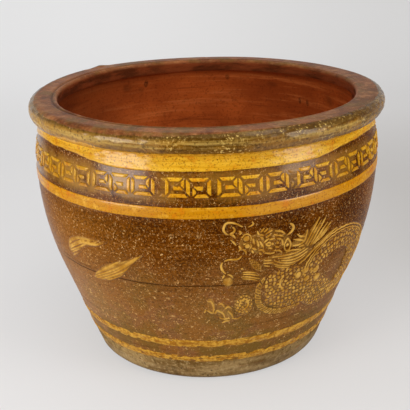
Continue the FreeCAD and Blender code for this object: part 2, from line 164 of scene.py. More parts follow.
class Finish:
    """One material, and short ways to add its nodes."""

    def __init__(self, name):
        self.material = bpy.data.materials.new(name)
        self.material.use_nodes = True
        self.tree = self.material.node_tree
        self.shader = self.tree.nodes["Principled BSDF"]
        self.place = self.node("ShaderNodeTexCoord", output="Object")

    def node(self, kind, settings=None, sockets=(), output=0):
        """Adds a node: its type, its settings, the values or links of its sockets, and the output to use."""
        made = self.tree.nodes.new(kind)
        for key, value in (settings or {}).items():
            setattr(made, key, value)
        for key, value in sockets.items() if isinstance(sockets, dict) else enumerate(sockets):
            if isinstance(value, Shade):
                self.tree.links.new(value.socket, made.inputs[key])
            else:
                made.inputs[key].default_value = value
        return Shade(self, made.outputs[output])

    def vector(self, operation, a, b):
        """A sum or product of two places."""
        return self.node("ShaderNodeVectorMath", {"operation": operation}, [a, b])

    def axis(self, name):
        """One coordinate of the place on the jar."""
        return self.node("ShaderNodeSeparateXYZ", None, [self.place], name)

    def noise(self, scale, detail=4, roughness=0.55, stretch=None):
        """Soft noise about 0.5, with features of 1 / scale metres, drawn out where an axis is scaled less."""
        place = self.vector("MULTIPLY", self.place, stretch) if stretch else self.place
        sockets = {"Vector": place, "Scale": scale, "Detail": detail, "Roughness": roughness}
        return self.node("ShaderNodeTexNoise", {"normalize": True}, sockets)

    def specks(self, scale, size, share):
        """Round specks in some of the cells of a random net."""
        sockets = {"Vector": self.place, "Scale": scale}
        near = self.node("ShaderNodeTexVoronoi", None, sockets, "Distance")
        dice = self.node("ShaderNodeTexVoronoi", None, sockets, "Color")
        dice = self.node("ShaderNodeSeparateColor", None, [dice])
        return self.ramp(near, size, size * 0.5) * self.ramp(dice, 1 - share, 1 - share * 0.6)

    def flecks(self, scale, line, gate_scale, gate, detail=1, stretch=None):
        """Short pieces of a noise's contour line, left only where a second noise is high."""
        contour = self.ramp(abs(self.noise(scale, detail, stretch=stretch) - 0.5), *line)
        return contour * self.ramp(self.noise(gate_scale, detail), *gate)

    def ramp(self, value, low, high):
        """A smooth step from 0 at low to 1 at high."""
        sockets = {"Value": value, "From Min": low, "From Max": high}
        return self.node("ShaderNodeMapRange", {"interpolation_type": "SMOOTHSTEP"}, sockets)

    def mix(self, share, under, over):
        """A colour between two colours."""
        return self.node("ShaderNodeMix", {"data_type": "RGBA"}, {0: share, 6: under, 7: over}, 2)

    def coats(self, base, *layers):
        """Lays screen colours over a first one, each as thick as the share before it."""
        colour = paint(*base)
        for share, *screen in layers:
            colour = self.mix(share, colour, paint(*screen))
        return colour

    def spot(self, turn, height, size, tall):
        """A soft spot at one place on the inner wall, an angle from the front and a height."""
        middle = around(math.radians(turn), wall_radius(height, -WALL), height)[0]
        away = self.vector("SUBTRACT", self.place, middle)
        away = self.vector("MULTIPLY", away, (1 / size, 1 / size, 1 / (size * tall)))
        far = self.node("ShaderNodeVectorMath", {"operation": "LENGTH"}, [away], "Value")
        return self.ramp(far, 1.0, 0.35)

    def marked(self, name):
        """A value kept on the mesh's points."""
        return self.node("ShaderNodeAttribute", {"attribute_name": name}, (), "Fac")

    def wear(self, colour, roughness, relief, depth, shine):
        """Joins a colour, a roughness and a fine relief of some depth to the shader, and sets its shine."""
        bump = self.node("ShaderNodeBump", None, {"Height": relief, "Distance": depth})
        for key, value in (("Base Color", colour), ("Roughness", roughness), ("Normal", bump)):
            self.tree.links.new(value.socket, self.shader.inputs[key])
        self.shader.inputs["Specular IOR Level"].default_value = shine
        self.shader.inputs["Specular Tint"].default_value = AMBER

    def glassy_shoulder(self, where=1.0):
        """Lays a clear coat over the shoulder's glassy runs, where the glaze pooled thick."""
        side = self.axis("X")
        pooled = sum(self.ramp(abs(side - middle), half, 0.5 * half) for middle, half in GLASSY_RUNS)
        pooled = pooled * self.ramp(self.axis("Z"), GLASSY_FROM, GLASSY_FULL) * where * COAT_WEIGHT
        self.tree.links.new(pooled.socket, self.shader.inputs["Coat Weight"])
        self.shader.inputs["Coat Roughness"].default_value = COAT_ROUGHNESS


print("glassy runs on the shoulder:", len(GLASSY_RUNS))

# %% [markdown]
# ## Brown glaze and red clay
# The wall's brown glaze is mottled and full of pale flecks, dull with moss and plum tones low down, with the
# faint rings of the wheel in it. Noise stretched flat draws rings without a seam. Flecks are short pieces of
# a noise's contour lines, which are fine and wormy as the real ones are. A painted sheen lightens the glaze
# towards both sides, painted light lightens it low down on the left and painted shade darkens it on the
# right, and a painted highlight strengthens the pale band round the fret on the left. The bare clay inside
# is matt, wiped in rings, stained in a few known places, and darkened by painted shade under the rim and on
# the left. The same glaze shows between the relief, so it is a function that any finish can call.

# %% Glaze of the wall
FLAT_RINGS = (1, 1, 26)
LOW_FROM, LOW_FULL = 0.235, 0.10
FOOT_ZONE = 35 * MM
FRET_MIDDLE = 307 * MM
HEM_MIDDLE = 56 * MM
SEAM_WANDER = 6 * MM
FINE_DEPTH = 0.3 * MM
GLAZE_SHINE = 0.015


def foot_ground(finish):
    """Colour and fine relief of the thin, dull glaze at the foot."""
    smear = finish.noise(13, 5, 0.62, (1, 1, 5))
    scrape = finish.noise(150, 4, 0.65, (1, 1, 0.12))
    grit = finish.noise(190, 4, 0.68)
    pits = finish.specks(170, 0.3, 0.2)
    colour = finish.coats(
        (112, 82, 40),
        (finish.ramp(smear, 0.36, 0.64), 164, 136, 90),
        (finish.ramp(grit, 0.5, 0.66) * 0.6, 194, 168, 120),
        (finish.ramp(grit, 0.46, 0.32) * 0.7, 84, 58, 26),
        (finish.ramp(scrape, 0.46, 0.34) * 0.5, 78, 56, 24),
        # Darker towards the floor.
        (finish.ramp(finish.axis("Z"), 0.012, 0.002) * 0.55, 84, 62, 32),
        # Painted shade darkens the foot on the right.
        (finish.ramp(finish.axis("X"), 0.0, 0.09) * 0.3, 84, 60, 32),
        (pits * 0.8, 58, 38, 18))
    return colour, grit + smear + scrape - pits


def glaze_ground(finish):
    """Colour, roughness and fine relief of the brown glaze."""
    side, height = finish.axis("X"), finish.axis("Z")
    blotch = finish.noise(15, 5)
    rings = finish.noise(9, 4, 0.6, FLAT_RINGS)
    grain = finish.noise(420, 3, 0.6)
    cloud = finish.noise(32, 4)
    low = finish.ramp(height, LOW_FROM, LOW_FULL)
    # Painted sheen: the glaze is made paler towards both sides, the left more, below the shoulder.
    painted_sheen = 0.66 * finish.ramp(side, -0.05, -0.2) + 0.45 * finish.ramp(side, 0.205, 0.232)
    painted_sheen = painted_sheen * finish.ramp(height, 0.292, 0.235)
    moss = low * finish.ramp(finish.noise(13, 3), 0.44, 0.58)
    plum = low * finish.ramp(finish.noise(24, 5, 0.7), 0.5, 0.6)
    shower = 0.35 + 0.65 * finish.ramp(blotch, 0.44, 0.58)
    dust = shower * finish.flecks(260, (0.034, 0.014), 330, (0.54, 0.60), 2)
    worms = finish.flecks(220, (0.045, 0.02), 260, (0.63, 0.66))
    dashes = low * finish.flecks(95, (0.04, 0.015), 150, (0.6, 0.64), stretch=(1, 1, 1.7))
    pale = dust * (0.7 - 0.3 * low) + worms * 0.7 + dashes * 0.65
    wash_and_glare = finish.ramp(abs(height - FRET_MIDDLE), 0.026, 0.01) * finish.ramp(cloud, 0.34, 0.56)
    # Painted highlight: the pale band round the fret is made stronger on the left.
    wash_and_glare = wash_and_glare * (0.5 + 0.35 * finish.ramp(side, -0.06, -0.16))
    hem = finish.ramp(abs(height - HEM_MIDDLE), 0.034, 0.02) * finish.ramp(cloud, 0.42, 0.6)
    wander = finish.noise(14, 2, stretch=(1, 1, 0.01)) - 0.5
    seam = finish.ramp(abs(height - SEAM - SEAM_WANDER * wander), 0.0016, 0.0004)
    seam = seam * finish.ramp(side, 0.09, 0.05) * finish.ramp(finish.noise(11, 2), 0.2, 0.42)
    colour = finish.coats(
        (68, 30, 2),
        (finish.ramp(blotch, 0.36, 0.64), 98, 50, 6),
        (painted_sheen, 152, 96, 30),
        (low, 137, 93, 46),
        (moss * 0.7, 116, 92, 46),
        (plum * 0.6, 138, 92, 62),
        # Painted light lightens the low wall on the left, and painted shade darkens it on the right.
        (low * finish.ramp(side, -0.08, -0.19) * 0.45, 180, 138, 102),
        (low * finish.ramp(side, 0.03, 0.13) * 0.2, 92, 64, 34),
        (finish.ramp(rings, 0.52, 0.70) * 0.45, 146, 98, 42),
        (finish.ramp(rings, 0.46, 0.28) * 0.5, 64, 32, 8),
        (finish.ramp(grain, 0.51, 0.63) * 0.6, 138, 82, 18),
        (finish.ramp(grain, 0.48, 0.36) * (0.6 - 0.1 * low), 48, 22, 3),
        (pale, 220, 178, 112),
        (wash_and_glare, 158, 114, 40),
        (hem * 0.6, 112, 86, 36),
        (seam * 0.8, 58, 30, 8))
    foot_colour, foot_relief = foot_ground(finish)
    foot = finish.ramp(height + 0.012 * (rings - 0.5), FOOT_ZONE + 3 * MM, FOOT_ZONE - 2 * MM)
    roughness = 0.17 + 0.14 * blotch + 0.14 * low + 0.25 * foot
    relief = grain * 0.6 + blotch * 0.6 + pale * 0.5 - seam + foot * foot_relief
    return finish.mix(foot, colour, foot_colour), roughness, relief


brown_glaze = Finish("brown_glaze")
brown_glaze.wear(*glaze_ground(brown_glaze), FINE_DEPTH, GLAZE_SHINE)
brown_glaze.glassy_shoulder()
print("glaze nodes:", len(brown_glaze.tree.nodes))

# %% Bare clay of the inside
CLAY_DEPTH = 0.7 * MM
CLAY_SHINE = 0.25
# Each mark is a turn in degrees, a height and a size in millimetres, how tall it is and how strong.
INSIDE_MARKS = ((-154, 340, 5, 2.0, 0.85), (-152, 331, 8, 1.0, 0.4), (170, 344, 5, 1.5, 0.6),
                (-145, 338, 12, 0.8, 0.4), (137, 313, 4, 2.0, 0.7), (133, 312, 4, 2.2, 0.7),
                (150, 335, 14, 0.5, 0.35), (120, 325, 12, 1.2, 0.4))
red_clay = Finish("red_clay")
wiping = red_clay.noise(7, 5, 0.66, (1, 1, 16))
cloud = red_clay.noise(9, 4)
grit = red_clay.noise(260, 3, 0.65)
# Painted shade: the inside darkens towards its top, under the rim.
under_lip_shade = red_clay.ramp(red_clay.axis("Z") + 0.04 * (cloud - 0.5), 0.335, 0.360)
# Painted shade darkens the inside on the left.
shaded = red_clay.ramp(red_clay.axis("X"), -0.08, -0.2)
rough = red_clay.ramp(grit, 0.36, 0.52)
stains = [(red_clay.spot(turn, height * MM, size * MM, tall) * rough * strength, 52, 20, 8)
          for turn, height, size, tall, strength in INSIDE_MARKS]
clay_colour = red_clay.coats(
    (152, 68, 25),
    (red_clay.ramp(cloud, 0.34, 0.66), 198, 98, 40),
    (red_clay.ramp(wiping, 0.5, 0.70) * 0.6, 214, 124, 64),
    (red_clay.ramp(wiping, 0.46, 0.28) * 0.7, 112, 44, 16),
    (red_clay.ramp(grit, 0.48, 0.34) * 0.4, 96, 38, 14),
    (under_lip_shade * 0.4, 96, 40, 16),
    (shaded * 0.6, 90, 40, 18),
    *stains)
red_clay.wear(clay_colour, 0.62 + 0.2 * cloud, wiping + grit * 0.5, CLAY_DEPTH, CLAY_SHINE)
print("stains on the clay:", len(stains))

# %% [markdown]
# ## Turned pieces
# The slab, the walls and the rim were turned on a wheel. A lathe does that: a closed outline of radius and
# height is spun once round the axis. The potter's sway then moves the vertices by a rule, so that a piece
# stays one closed skin.

# %% The lathe
STEPS = 480
SECTORS = 24
CORNER = math.radians(50)
INSIDE = 1
CLOUD_WAVES = 26


def turned(outline, steps=STEPS, closed=True):
    """A shell turned about the jar's axis from an outline of radius and height.
    One sector is spun, and copies of it are spun round, which is far quicker than one long spin."""
    shell = bmesh.new()
    corners = [shell.verts.new((0, -radius, height)) for radius, height in outline]
    edges = [shell.edges.new(pair) for pair in zip(corners, corners[1:] + corners[:closed])]
    sector = 2 * math.pi / SECTORS
    axle = {"cent": (0, 0, 0), "axis": (0, 0, 1)}
    bmesh.ops.spin(shell, geom=corners + edges, angle=sector, steps=steps // SECTORS, **axle)
    whole = shell.verts[:] + shell.edges[:] + shell.faces[:]
    rest = SECTORS - 1
    bmesh.ops.spin(shell, geom=whole, angle=sector * rest, steps=rest, use_duplicate=True, **axle)
    bmesh.ops.remove_doubles(shell, verts=shell.verts, dist=0.001 * MM)
    bmesh.ops.recalc_face_normals(shell, faces=shell.faces)
    for edge in shell.edges:
        edge.smooth = edge.calc_face_angle(0.0) < CORNER
    return shell


def cylindrical(shell):
    """Angle, radius and height of every vertex."""
    spots = np.array([vert.co for vert in shell.verts])
    return np.arctan2(spots[:, 0], -spots[:, 1]), np.hypot(spots[:, 0], spots[:, 1]), spots[:, 2]


def move_to(shell, spots):
    """Moves the vertices to new places."""
    for vert, spot in zip(shell.verts, spots):
        vert.co = spot


def mark(shell, name, values):
    """Keeps a value on every vertex for the finish to read."""
    layer = shell.verts.layers.float.new(name)
    for vert, value in zip(shell.verts, values):
        vert[layer] = value


def settle(name, shell, finishes, slot, *nodes):
    """Makes a shell into a piece of the jar that stands for its solids."""
    mesh = bpy.data.meshes.new(name)
    shell.to_mesh(mesh)
    shell.free()
    for finish in finishes:
        mesh.materials.append(finish.material)
    mesh.shade_smooth()
    piece = bpy.data.objects.new(name, mesh)
    bpy.context.scene.collection.objects.link(piece)
    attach(piece, "root")
    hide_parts(*nodes)
    print(name, len(mesh.polygons), "faces")


def run_up(low, high, count, offset=0.0):
    """Points up the wall's curve."""
    heights = np.linspace(low, high, count)
    return list(zip(wall_radius(heights, offset), heights))


def bend(centre, radius, start, end, count):
    """Points round an arc, from one angle to another in degrees."""
    angles = np.radians(np.linspace(start, end, count))
    return [(centre[0] + radius * math.cos(a), centre[1] + radius * math.sin(a)) for a in angles]


def patchiness(angle, height, seed):
    """Cloudy noise over the wall, drawn out round the jar, between about -1 and 1."""
    dice = np.random.default_rng(seed)
    total = np.zeros_like(angle)
    for wave in range(CLOUD_WAVES):
        turns = dice.integers(2, 90)
        total += np.sin(turns * angle + dice.normal(0, 800) * height + dice.uniform(0, 2 * np.pi))
    return total / math.sqrt(CLOUD_WAVES)


def face_inwards(shell):
    """Gives the inner faces of a wall the second finish."""
    middles = np.array([face.calc_center_median() for face in shell.faces])
    inner = np.hypot(middles[:, 0], middles[:, 1]) < wall_radius(middles[:, 2], -WALL / 2)
    for face, inwards in zip(shell.faces, inner):
        face.material_index = INSIDE if inwards else 0


print("a ring has", STEPS, "steps in", SECTORS, "sectors")

# %% The two wall sections
OUTER_ROWS = 70
INNER_ROWS = 30


def wall_section(low, high):
    """One section of the wall, swaying as the potter's hand did."""
    outline = run_up(low, high, OUTER_ROWS) + run_up(low, high, INNER_ROWS, -WALL)[::-1]
    shell = turned(outline)
    face_inwards(shell)
    angle, radius, height = cylindrical(shell)
    move_to(shell, around(angle, radius + hand(angle, height), height))
    return shell


for section, low, high in (("lower_wall", SLAB_TOP, SEAM), ("upper_wall", SEAM, NECK)):
    settle("thrown_" + section, wall_section(low, high), [brown_glaze, red_clay], "brown_glaze", section)

# %% [markdown]
# ## The foot
# The slab under the wall shows as a rough, dull rim at the floor: thin glaze over gritty clay, pitted where
# it was trimmed. Its lower edge is rounded. A coil of clay fills the corner inside. Both are turned, and the
# slab keeps its flat underside so that the jar stands as its solid does.

# %% Foot clay
COARSE_DEPTH = 0.9 * MM
foot_clay = Finish("foot_clay")
foot_colour, foot_relief = foot_ground(foot_clay)
foot_clay.wear(foot_colour, 0.5 + 0.2 * foot_clay.noise(90), foot_relief, COARSE_DEPTH, CLAY_SHINE)
print("foot nodes:", len(foot_clay.tree.nodes))

# %% Slab and corner coil
FOOT_ROUNDING = 14 * MM
COIL_RADIUS = 20 * MM
CHIP_DEPTH = 0.7 * MM


def base_slab():
    """The slab, from its middle underneath, round its edge, to its middle on top."""
    middle = wall_radius(FOOT_ROUNDING) - FOOT_ROUNDING / math.cos(FLANK_TILT)
    tilt = math.degrees(FLANK_TILT)
    outline = [(0.0, 0.0), (0.5 * middle, 0.0)]
    outline += bend((middle, FOOT_ROUNDING), FOOT_ROUNDING, -90, -tilt, 14)
    outline += run_up(FOOT_ROUNDING * 0.72, SLAB_TOP, 8)
    outline += [(0.5 * middle, SLAB_TOP), (0.0, SLAB_TOP)]
    shell = turned(outline, closed=False)
    for face in shell.faces:
        if face.calc_center_median().z > SLAB_TOP - 0.1 * MM:
            face.material_index = INSIDE
    angle, radius, height = cylindrical(shell)
    rise = np.clip(height / FOOT_ROUNDING, 0, 1)
    chips = CHIP_DEPTH * np.sin(23 * angle + 2) * np.sin(9 * angle) * rise * (1 - 0.4 * rise)
    sway = (hand(angle, height) + chips) * (radius > 0.7 * middle)
    move_to(shell, around(angle, radius + sway, height))
    return shell


def floor_coil():
    """The fillet of clay in the inside corner, its back and underside in the wall and slab."""
    rise = SLAB_TOP + COIL_RADIUS
    middle = wall_radius(rise, -WALL) - COIL_RADIUS / math.cos(FLANK_TILT)
    corner = (float(wall_radius(SLAB_TOP, -WALL)), SLAB_TOP)
    outline = bend((middle, rise), COIL_RADIUS, -90, -math.degrees(FLANK_TILT), 10) + [corner]
    shell = turned(outline)
    move_to(shell, around(*cylindrical(shell)))
    return shell


settle("trimmed_base_slab", base_slab(), [foot_clay, red_clay], "foot_clay", "base_slab")
settle("wiped_floor_coil", floor_coil(), [red_clay], "inside_clay", "floor_coil")

# %% [markdown]
# ## The rolled rim
# The rim is a thick, lumpy roll with a flat, worn top and a small bead at the mouth, marked off by a crease
# that is deep on the left and fades to the right. Its outer face is olive and streaked, with a painted
# highlight band along it and painted light on its left front, and slip from the collar laps over the joint.
# The top is matt purple-brown with painted shade on its right, and under the bead the bare clay of the inside
# runs up. The lathe gives the roll, rules on the vertices press the crease and raise the lumps, and values on
# each vertex tell the finish what is worn, creased, lip or throat. The crease and the throat are darkened
# with painted shade, and the lip at the front takes a painted highlight.

# %% Rim glaze
RIM_MARKS = ("worn", "throat", "crease", "lip")
RIM_DEPTH = 0.6 * MM
RIM_SHINE = 0.2


def rim_ground(finish):
    """Colour, roughness, fine relief and gloss of the rim."""
    worn, throat, crease, lip = [finish.marked(name) for name in RIM_MARKS]
    side = finish.axis("X")
    front = finish.ramp(finish.axis("Y"), 0.05, -0.05)
    flow = finish.noise(22, 5, 0.62, (1, 1, 4))
    streak = finish.noise(14, 5, 0.66, (1, 1, 16))
    crawl = finish.noise(280, 4, 0.65)
    blush = finish.noise(30, 4)
    rust = finish.noise(60, 6, 0.78)
    level = finish.axis("Z") + 0.006 * (flow - 0.5)
    brow = finish.ramp(level, RIM_TOP - 9 * MM, RIM_TOP - 4 * MM)
    skirt = finish.ramp(level, NECK + 12 * MM, NECK + 5 * MM)
    cluster = 0.2 + 0.8 * finish.ramp(blush, 0.5, 0.62)
    # Painted highlight: a pale band along the roll where the lamps gleam.
    gleam = finish.ramp(abs(level - RIM_TOP + 13 * MM), 5 * MM, 2 * MM)
    gleam = gleam * finish.ramp(finish.noise(8, 4, 0.6, FLAT_RINGS), 0.47, 0.62)
    lap = level - 5 * MM * finish.ramp(abs(side + 0.165), 0.05, 0.01) * front
    olive = finish.coats(
        (88, 56, 8),
        (finish.ramp(flow, 0.40, 0.60), 134, 90, 20),
        (finish.ramp(streak, 0.48, 0.64) * (1 - skirt) * 0.4, 190, 156, 76),
        # Painted light on the roll's left front.
        (finish.ramp(side, -0.05, -0.19) * front * 0.5, 186, 140, 52),
        (gleam * 0.35, 200, 170, 92),
        (brow * (0.95 - 0.2 * front), 76, 50, 8),
        (skirt * 0.75, 112, 73, 15),
        (finish.ramp(lap, NECK + 5 * MM, NECK + 3 * MM) * 0.9, 206, 148, 34),
        (finish.ramp(crawl, 0.55, 0.63) * cluster * 0.75, 216, 184, 104),
        (finish.ramp(crawl, 0.47, 0.37) * 0.65, 60, 36, 4))
    top = finish.coats(
        (104, 56, 26),
        (finish.ramp(flow, 0.36, 0.64), 144, 88, 46),
        (finish.ramp(blush, 0.52, 0.66) * 0.6, 112, 76, 30),
        (finish.ramp(crawl, 0.54, 0.7) * 0.45, 182, 134, 88),
        (finish.ramp(crawl, 0.46, 0.32) * 0.5, 66, 36, 20),
        # Painted shade on the right of the top.
        (finish.ramp(side, 0.1, 0.22) * 0.6, 88, 54, 26),
        ((1 - front) * 0.25, 156, 100, 76),
        (finish.ramp(finish.noise(38, 3), 0.5, 0.6) * 0.6, 106, 82, 38),
        (finish.ramp(rust, 0.5, 0.64) * 0.5, 178, 126, 84),
        (finish.ramp(rust, 0.48, 0.36) * 0.6, 68, 38, 18),
        # Painted highlight along the bead at the front.
        (lip * front * 0.6, 190, 130, 96))
    # Painted shade darkens the inner face of the mouth under the bead.
    throat_shade = finish.coats((78, 32, 12), (finish.ramp(flow, 0.38, 0.62), 118, 54, 26))
    bare = finish.ramp(worn + 0.7 * (blush - 0.5) + 0.4 * (crawl - 0.5), 0.35, 0.65)
    # Painted shade darkens the crease.
    colour = finish.mix(crease * 0.6, finish.mix(bare, olive, top), paint(66, 34, 18))
    roughness = 0.16 + 0.24 * bare + 0.4 * throat + 0.1 * crawl
    gloss = (0.7 - 0.7 * bare) * (1 - throat) * finish.ramp(side, -0.22, -0.2)
    return finish.mix(throat, colour, throat_shade), roughness, crawl + flow + rust * bare, gloss


rim_glaze = Finish("rim_glaze")
*rim_surface, rim_gloss = rim_ground(rim_glaze)
rim_glaze.wear(*rim_surface, RIM_DEPTH, RIM_SHINE)
rim_glaze.glassy_shoulder(rim_gloss)
print("rim nodes:", len(rim_glaze.tree.nodes))

# %% Rim
RIM_STEPS = 600
MOUTH_LIP = 8 * MM
LIP_ROUNDING = 6 * MM
LIP_FACE = 12 * MM
RIM_LAP = 1.5 * MM
RIM_OVERHANG = 12 * MM
RIM_EQUATOR = 17 * MM
COLLAR_RELIEF = 2 * MM
CREASE_IN = 8 * MM
CREASE_DEPTH = 2.4 * MM
CREASE_HALF = 1.8 * MM
BEAD_IN = 1.5 * MM
BEAD_HALF = 1.6 * MM
ARRIS_IN = 10 * MM
KNOB_TURN = -2.37
LUMP_SEED = 51


def swell(value, middle, width):
    """A smooth rise to 1 at its middle."""
    return np.exp(-((value - middle) / width) ** 2)


def rim_outline():
    """The roll's outline, from the throat under it, round its outside, over its top and into the mouth."""
    throat = float(wall_radius(NECK, -WALL))
    mouth = throat - MOUTH_LIP
    seat = float(wall_radius(NECK, COLLAR_RELIEF)) + RIM_LAP
    widest = seat + RIM_OVERHANG
    upper = RIM_TOP - NECK - RIM_EQUATOR
    lower = (RIM_OVERHANG ** 2 + RIM_EQUATOR ** 2) / (2 * RIM_OVERHANG)
    equator = NECK + RIM_EQUATOR
    start = -math.degrees(math.asin(RIM_EQUATOR / lower))
    outline = [(throat, NECK), (throat + 0.5 * (seat - throat), NECK)]
    outline += bend((widest - lower, equator), lower, start, 0, 16)
    outline += bend((widest - upper, equator), upper, 6, 90, 14)
    top = np.linspace(widest - upper, mouth + LIP_ROUNDING, 22)[1:-1]
    outline += [(radius, RIM_TOP) for radius in top]
    outline += bend((mouth + LIP_ROUNDING, RIM_TOP - LIP_ROUNDING), LIP_ROUNDING, 90, 180, 10)
    outline += [(mouth, NECK + LIP_FACE + 3 * MM), (mouth + 0.6 * MM, NECK + LIP_FACE)]
    outline += [(throat - 1.5 * MM, NECK + 0.75 * LIP_FACE), (throat - 0.3 * MM, NECK + 0.6 * LIP_FACE)]
    return outline, throat, mouth, seat, widest, equator


def rim_roll():
    """The roll, turned, then pressed and swayed as the hand left it."""
    outline, throat, mouth, seat, widest, equator = rim_outline()
    shell = turned(outline, RIM_STEPS)
    angle, radius, height = cylindrical(shell)
    flat = np.clip((height - RIM_TOP + 8.5 * MM) / (3 * MM), 0, 1)
    arris = ARRIS_IN - 8 * MM * swell(angle, -0.6, 0.7)
    worn = flat * np.clip((widest - arris + 3 * MM - radius) / (6 * MM), 0, 1)
    under_top = np.clip((RIM_TOP - height) / (5 * MM), 0, 1)
    throat_face = np.clip((throat + 2 * MM - radius) / (2 * MM), 0, 1) * under_top
    left = np.clip(0.6 - 0.5 * np.sin(angle + 0.3), 0, 1)
    groove = swell(radius, mouth + CREASE_IN, CREASE_HALF) * (height > RIM_TOP - 3 * MM)
    # The bead, which takes a painted highlight at the front.
    lip = swell(radius, mouth + BEAD_IN, BEAD_HALF) * (height > RIM_TOP - 4 * MM)
    tilt = 0.5 * np.sin(angle + 2.2) + 0.45 * np.sin(2 * angle + 1) + 0.3 * np.sin(5 * angle)
    lift = 1.8 * swell(angle, -2.3, 0.6)
    knob = 2.4 * swell(angle, KNOB_TURN, 0.05) * np.clip((radius - widest + 16 * MM) / (8 * MM), 0, 1)
    height = height - CREASE_DEPTH * left * groove + (tilt + lift + knob) * MM * (height > equator)
    lumps = 0.35 * patchiness(angle, height, LUMP_SEED) * np.clip((radius - seat) / (6 * MM), 0, 1)
    sway = 2.6 * swell(angle, 1.6, 0.9) + lumps + 0.5 * np.sin(2 * angle + 2)
    sway = sway + 0.4 * np.sin(3 * angle) + 0.25 * np.sin(11 * angle + 1)
    neck_wall = (radius < throat + MM) & (height < NECK + 0.8 * LIP_FACE)
    sway = np.where(neck_wall, hand(angle, height), sway * MM * (height > NECK + MM))
    move_to(shell, around(angle, radius + sway, height))
    for face in shell.faces:
        spot = face.calc_center_median()
        if math.hypot(spot.x, spot.y) < throat + MM and spot.z < NECK + LIP_FACE:
            face.material_index = INSIDE
    for name, values in zip(RIM_MARKS, (worn, throat_face, groove * left, lip)):
        mark(shell, name, values)
    return shell


settle("rolled_rim", rim_roll(), [rim_glaze, red_clay], "rim_glaze", "rim_roll")

# %% [markdown]
# ## Brushed bands
# The yellow bands were brushed on while the wheel turned: their edges waver, the collar and girdle are thick,
# and the foot bands ran dry and broke. The collar is notched in two places and the girdle climbs on the
# right. Each is a thin skin on the wall, turned like the rest. A rule lowers the skin into the wall past its
# wavering edges and in its dry gaps, so its real edge is where the two surfaces cross.

# %% Yellow slip
SLIP_SHINE = 0.02


def slip_colour(finish):
    """Colour and relief of the yellow slip."""
    stroke = finish.noise(10, 5, 0.64, (1, 1, 18))
    mottle = finish.noise(60, 4, 0.62)
    grain = finish.noise(400, 3, 0.65)
    pits = finish.specks(150, 0.17, 0.09)
    colour = finish.coats(
        (205, 146, 16),
        (finish.ramp(stroke, 0.36, 0.64), 229, 180, 50),
        (finish.ramp(finish.axis("Z"), 0.318, 0.29) * 0.7, 186, 119, 6),
        (finish.ramp(mottle, 0.53, 0.68) * 0.6, 202, 112, 12),
        (finish.ramp(mottle, 0.45, 0.32) * 0.5, 232, 184, 68),
        (finish.ramp(grain, 0.48, 0.34) * 0.75, 142, 80, 10),
        (finish.ramp(stroke, 0.42, 0.28) * 0.5, 160, 90, 16),
        (pits * 0.8, 84, 46, 14))
    return colour, stroke + 0.6 * grain - pits


def over_glaze(finish, cover, slip):
    """Slip on the brown glaze, which shows through where the cover is thin."""
    return finish.mix(cover, glaze_ground(finish)[0], slip)


yellow_slip = Finish("yellow_slip")
slip, slip_relief = slip_colour(yellow_slip)
thin = yellow_slip.noise(60, 4, 0.6, (1, 1, 5))
cover = yellow_slip.ramp(yellow_slip.marked("slip") + 0.5 * (thin - 0.5), 0.25, 0.6)
slip = over_glaze(yellow_slip, cover, slip)
yellow_slip.wear(slip, 0.2 + 0.1 * thin, slip_relief, FINE_DEPTH, SLIP_SHINE)
yellow_slip.glassy_shoulder()
print("slip nodes:", len(yellow_slip.tree.nodes))

# %% Dry slip of the foot
DRY_SHINE = 0.1
dry_slip = Finish("dry_slip")
drag = dry_slip.noise(24, 5, 0.68, (1, 1, 12))
crust = dry_slip.noise(170, 5, 0.7)
dry_colour = dry_slip.coats(
    (158, 102, 18),
    (dry_slip.ramp(crust, 0.38, 0.62), 212, 162, 62),
    (dry_slip.ramp(drag, 0.46, 0.34) * 0.7, 128, 76, 26),
    (dry_slip.ramp(drag, 0.56, 0.7) * 0.5, 160, 140, 108))
cover = dry_slip.marked("slip") + 1.3 * (drag - 0.5) + 0.6 * (crust - 0.5)
dry_colour = over_glaze(dry_slip, dry_slip.ramp(cover, 0.1, 0.4), dry_colour)
dry_slip.wear(dry_colour, 0.4 + 0.2 * crust, crust + drag, COARSE_DEPTH, DRY_SHINE)
print("dry slip nodes:", len(dry_slip.tree.nodes))

# %% Bands
BAND_MARGIN = 4 * MM
BAND_SOFT = 1.8 * MM
BAND_STEPS = 840
BAND_ROW = 0.9 * MM
BAND_ROOT = 2 * MM
BAND_SUNK = 0.8 * MM
RIPPLE_FIRST, RIPPLE_LAST = 2, 110


def ripple(angle, seed):
    """A wavering line round the jar, between about -1 and 1."""
    phases = np.random.default_rng(seed).uniform(0, 2 * np.pi, RIPPLE_LAST)
    waves = range(RIPPLE_FIRST, RIPPLE_LAST)
    return sum(np.sin(k * angle + phases[k]) / k ** 0.8 for k in waves) / 2.4


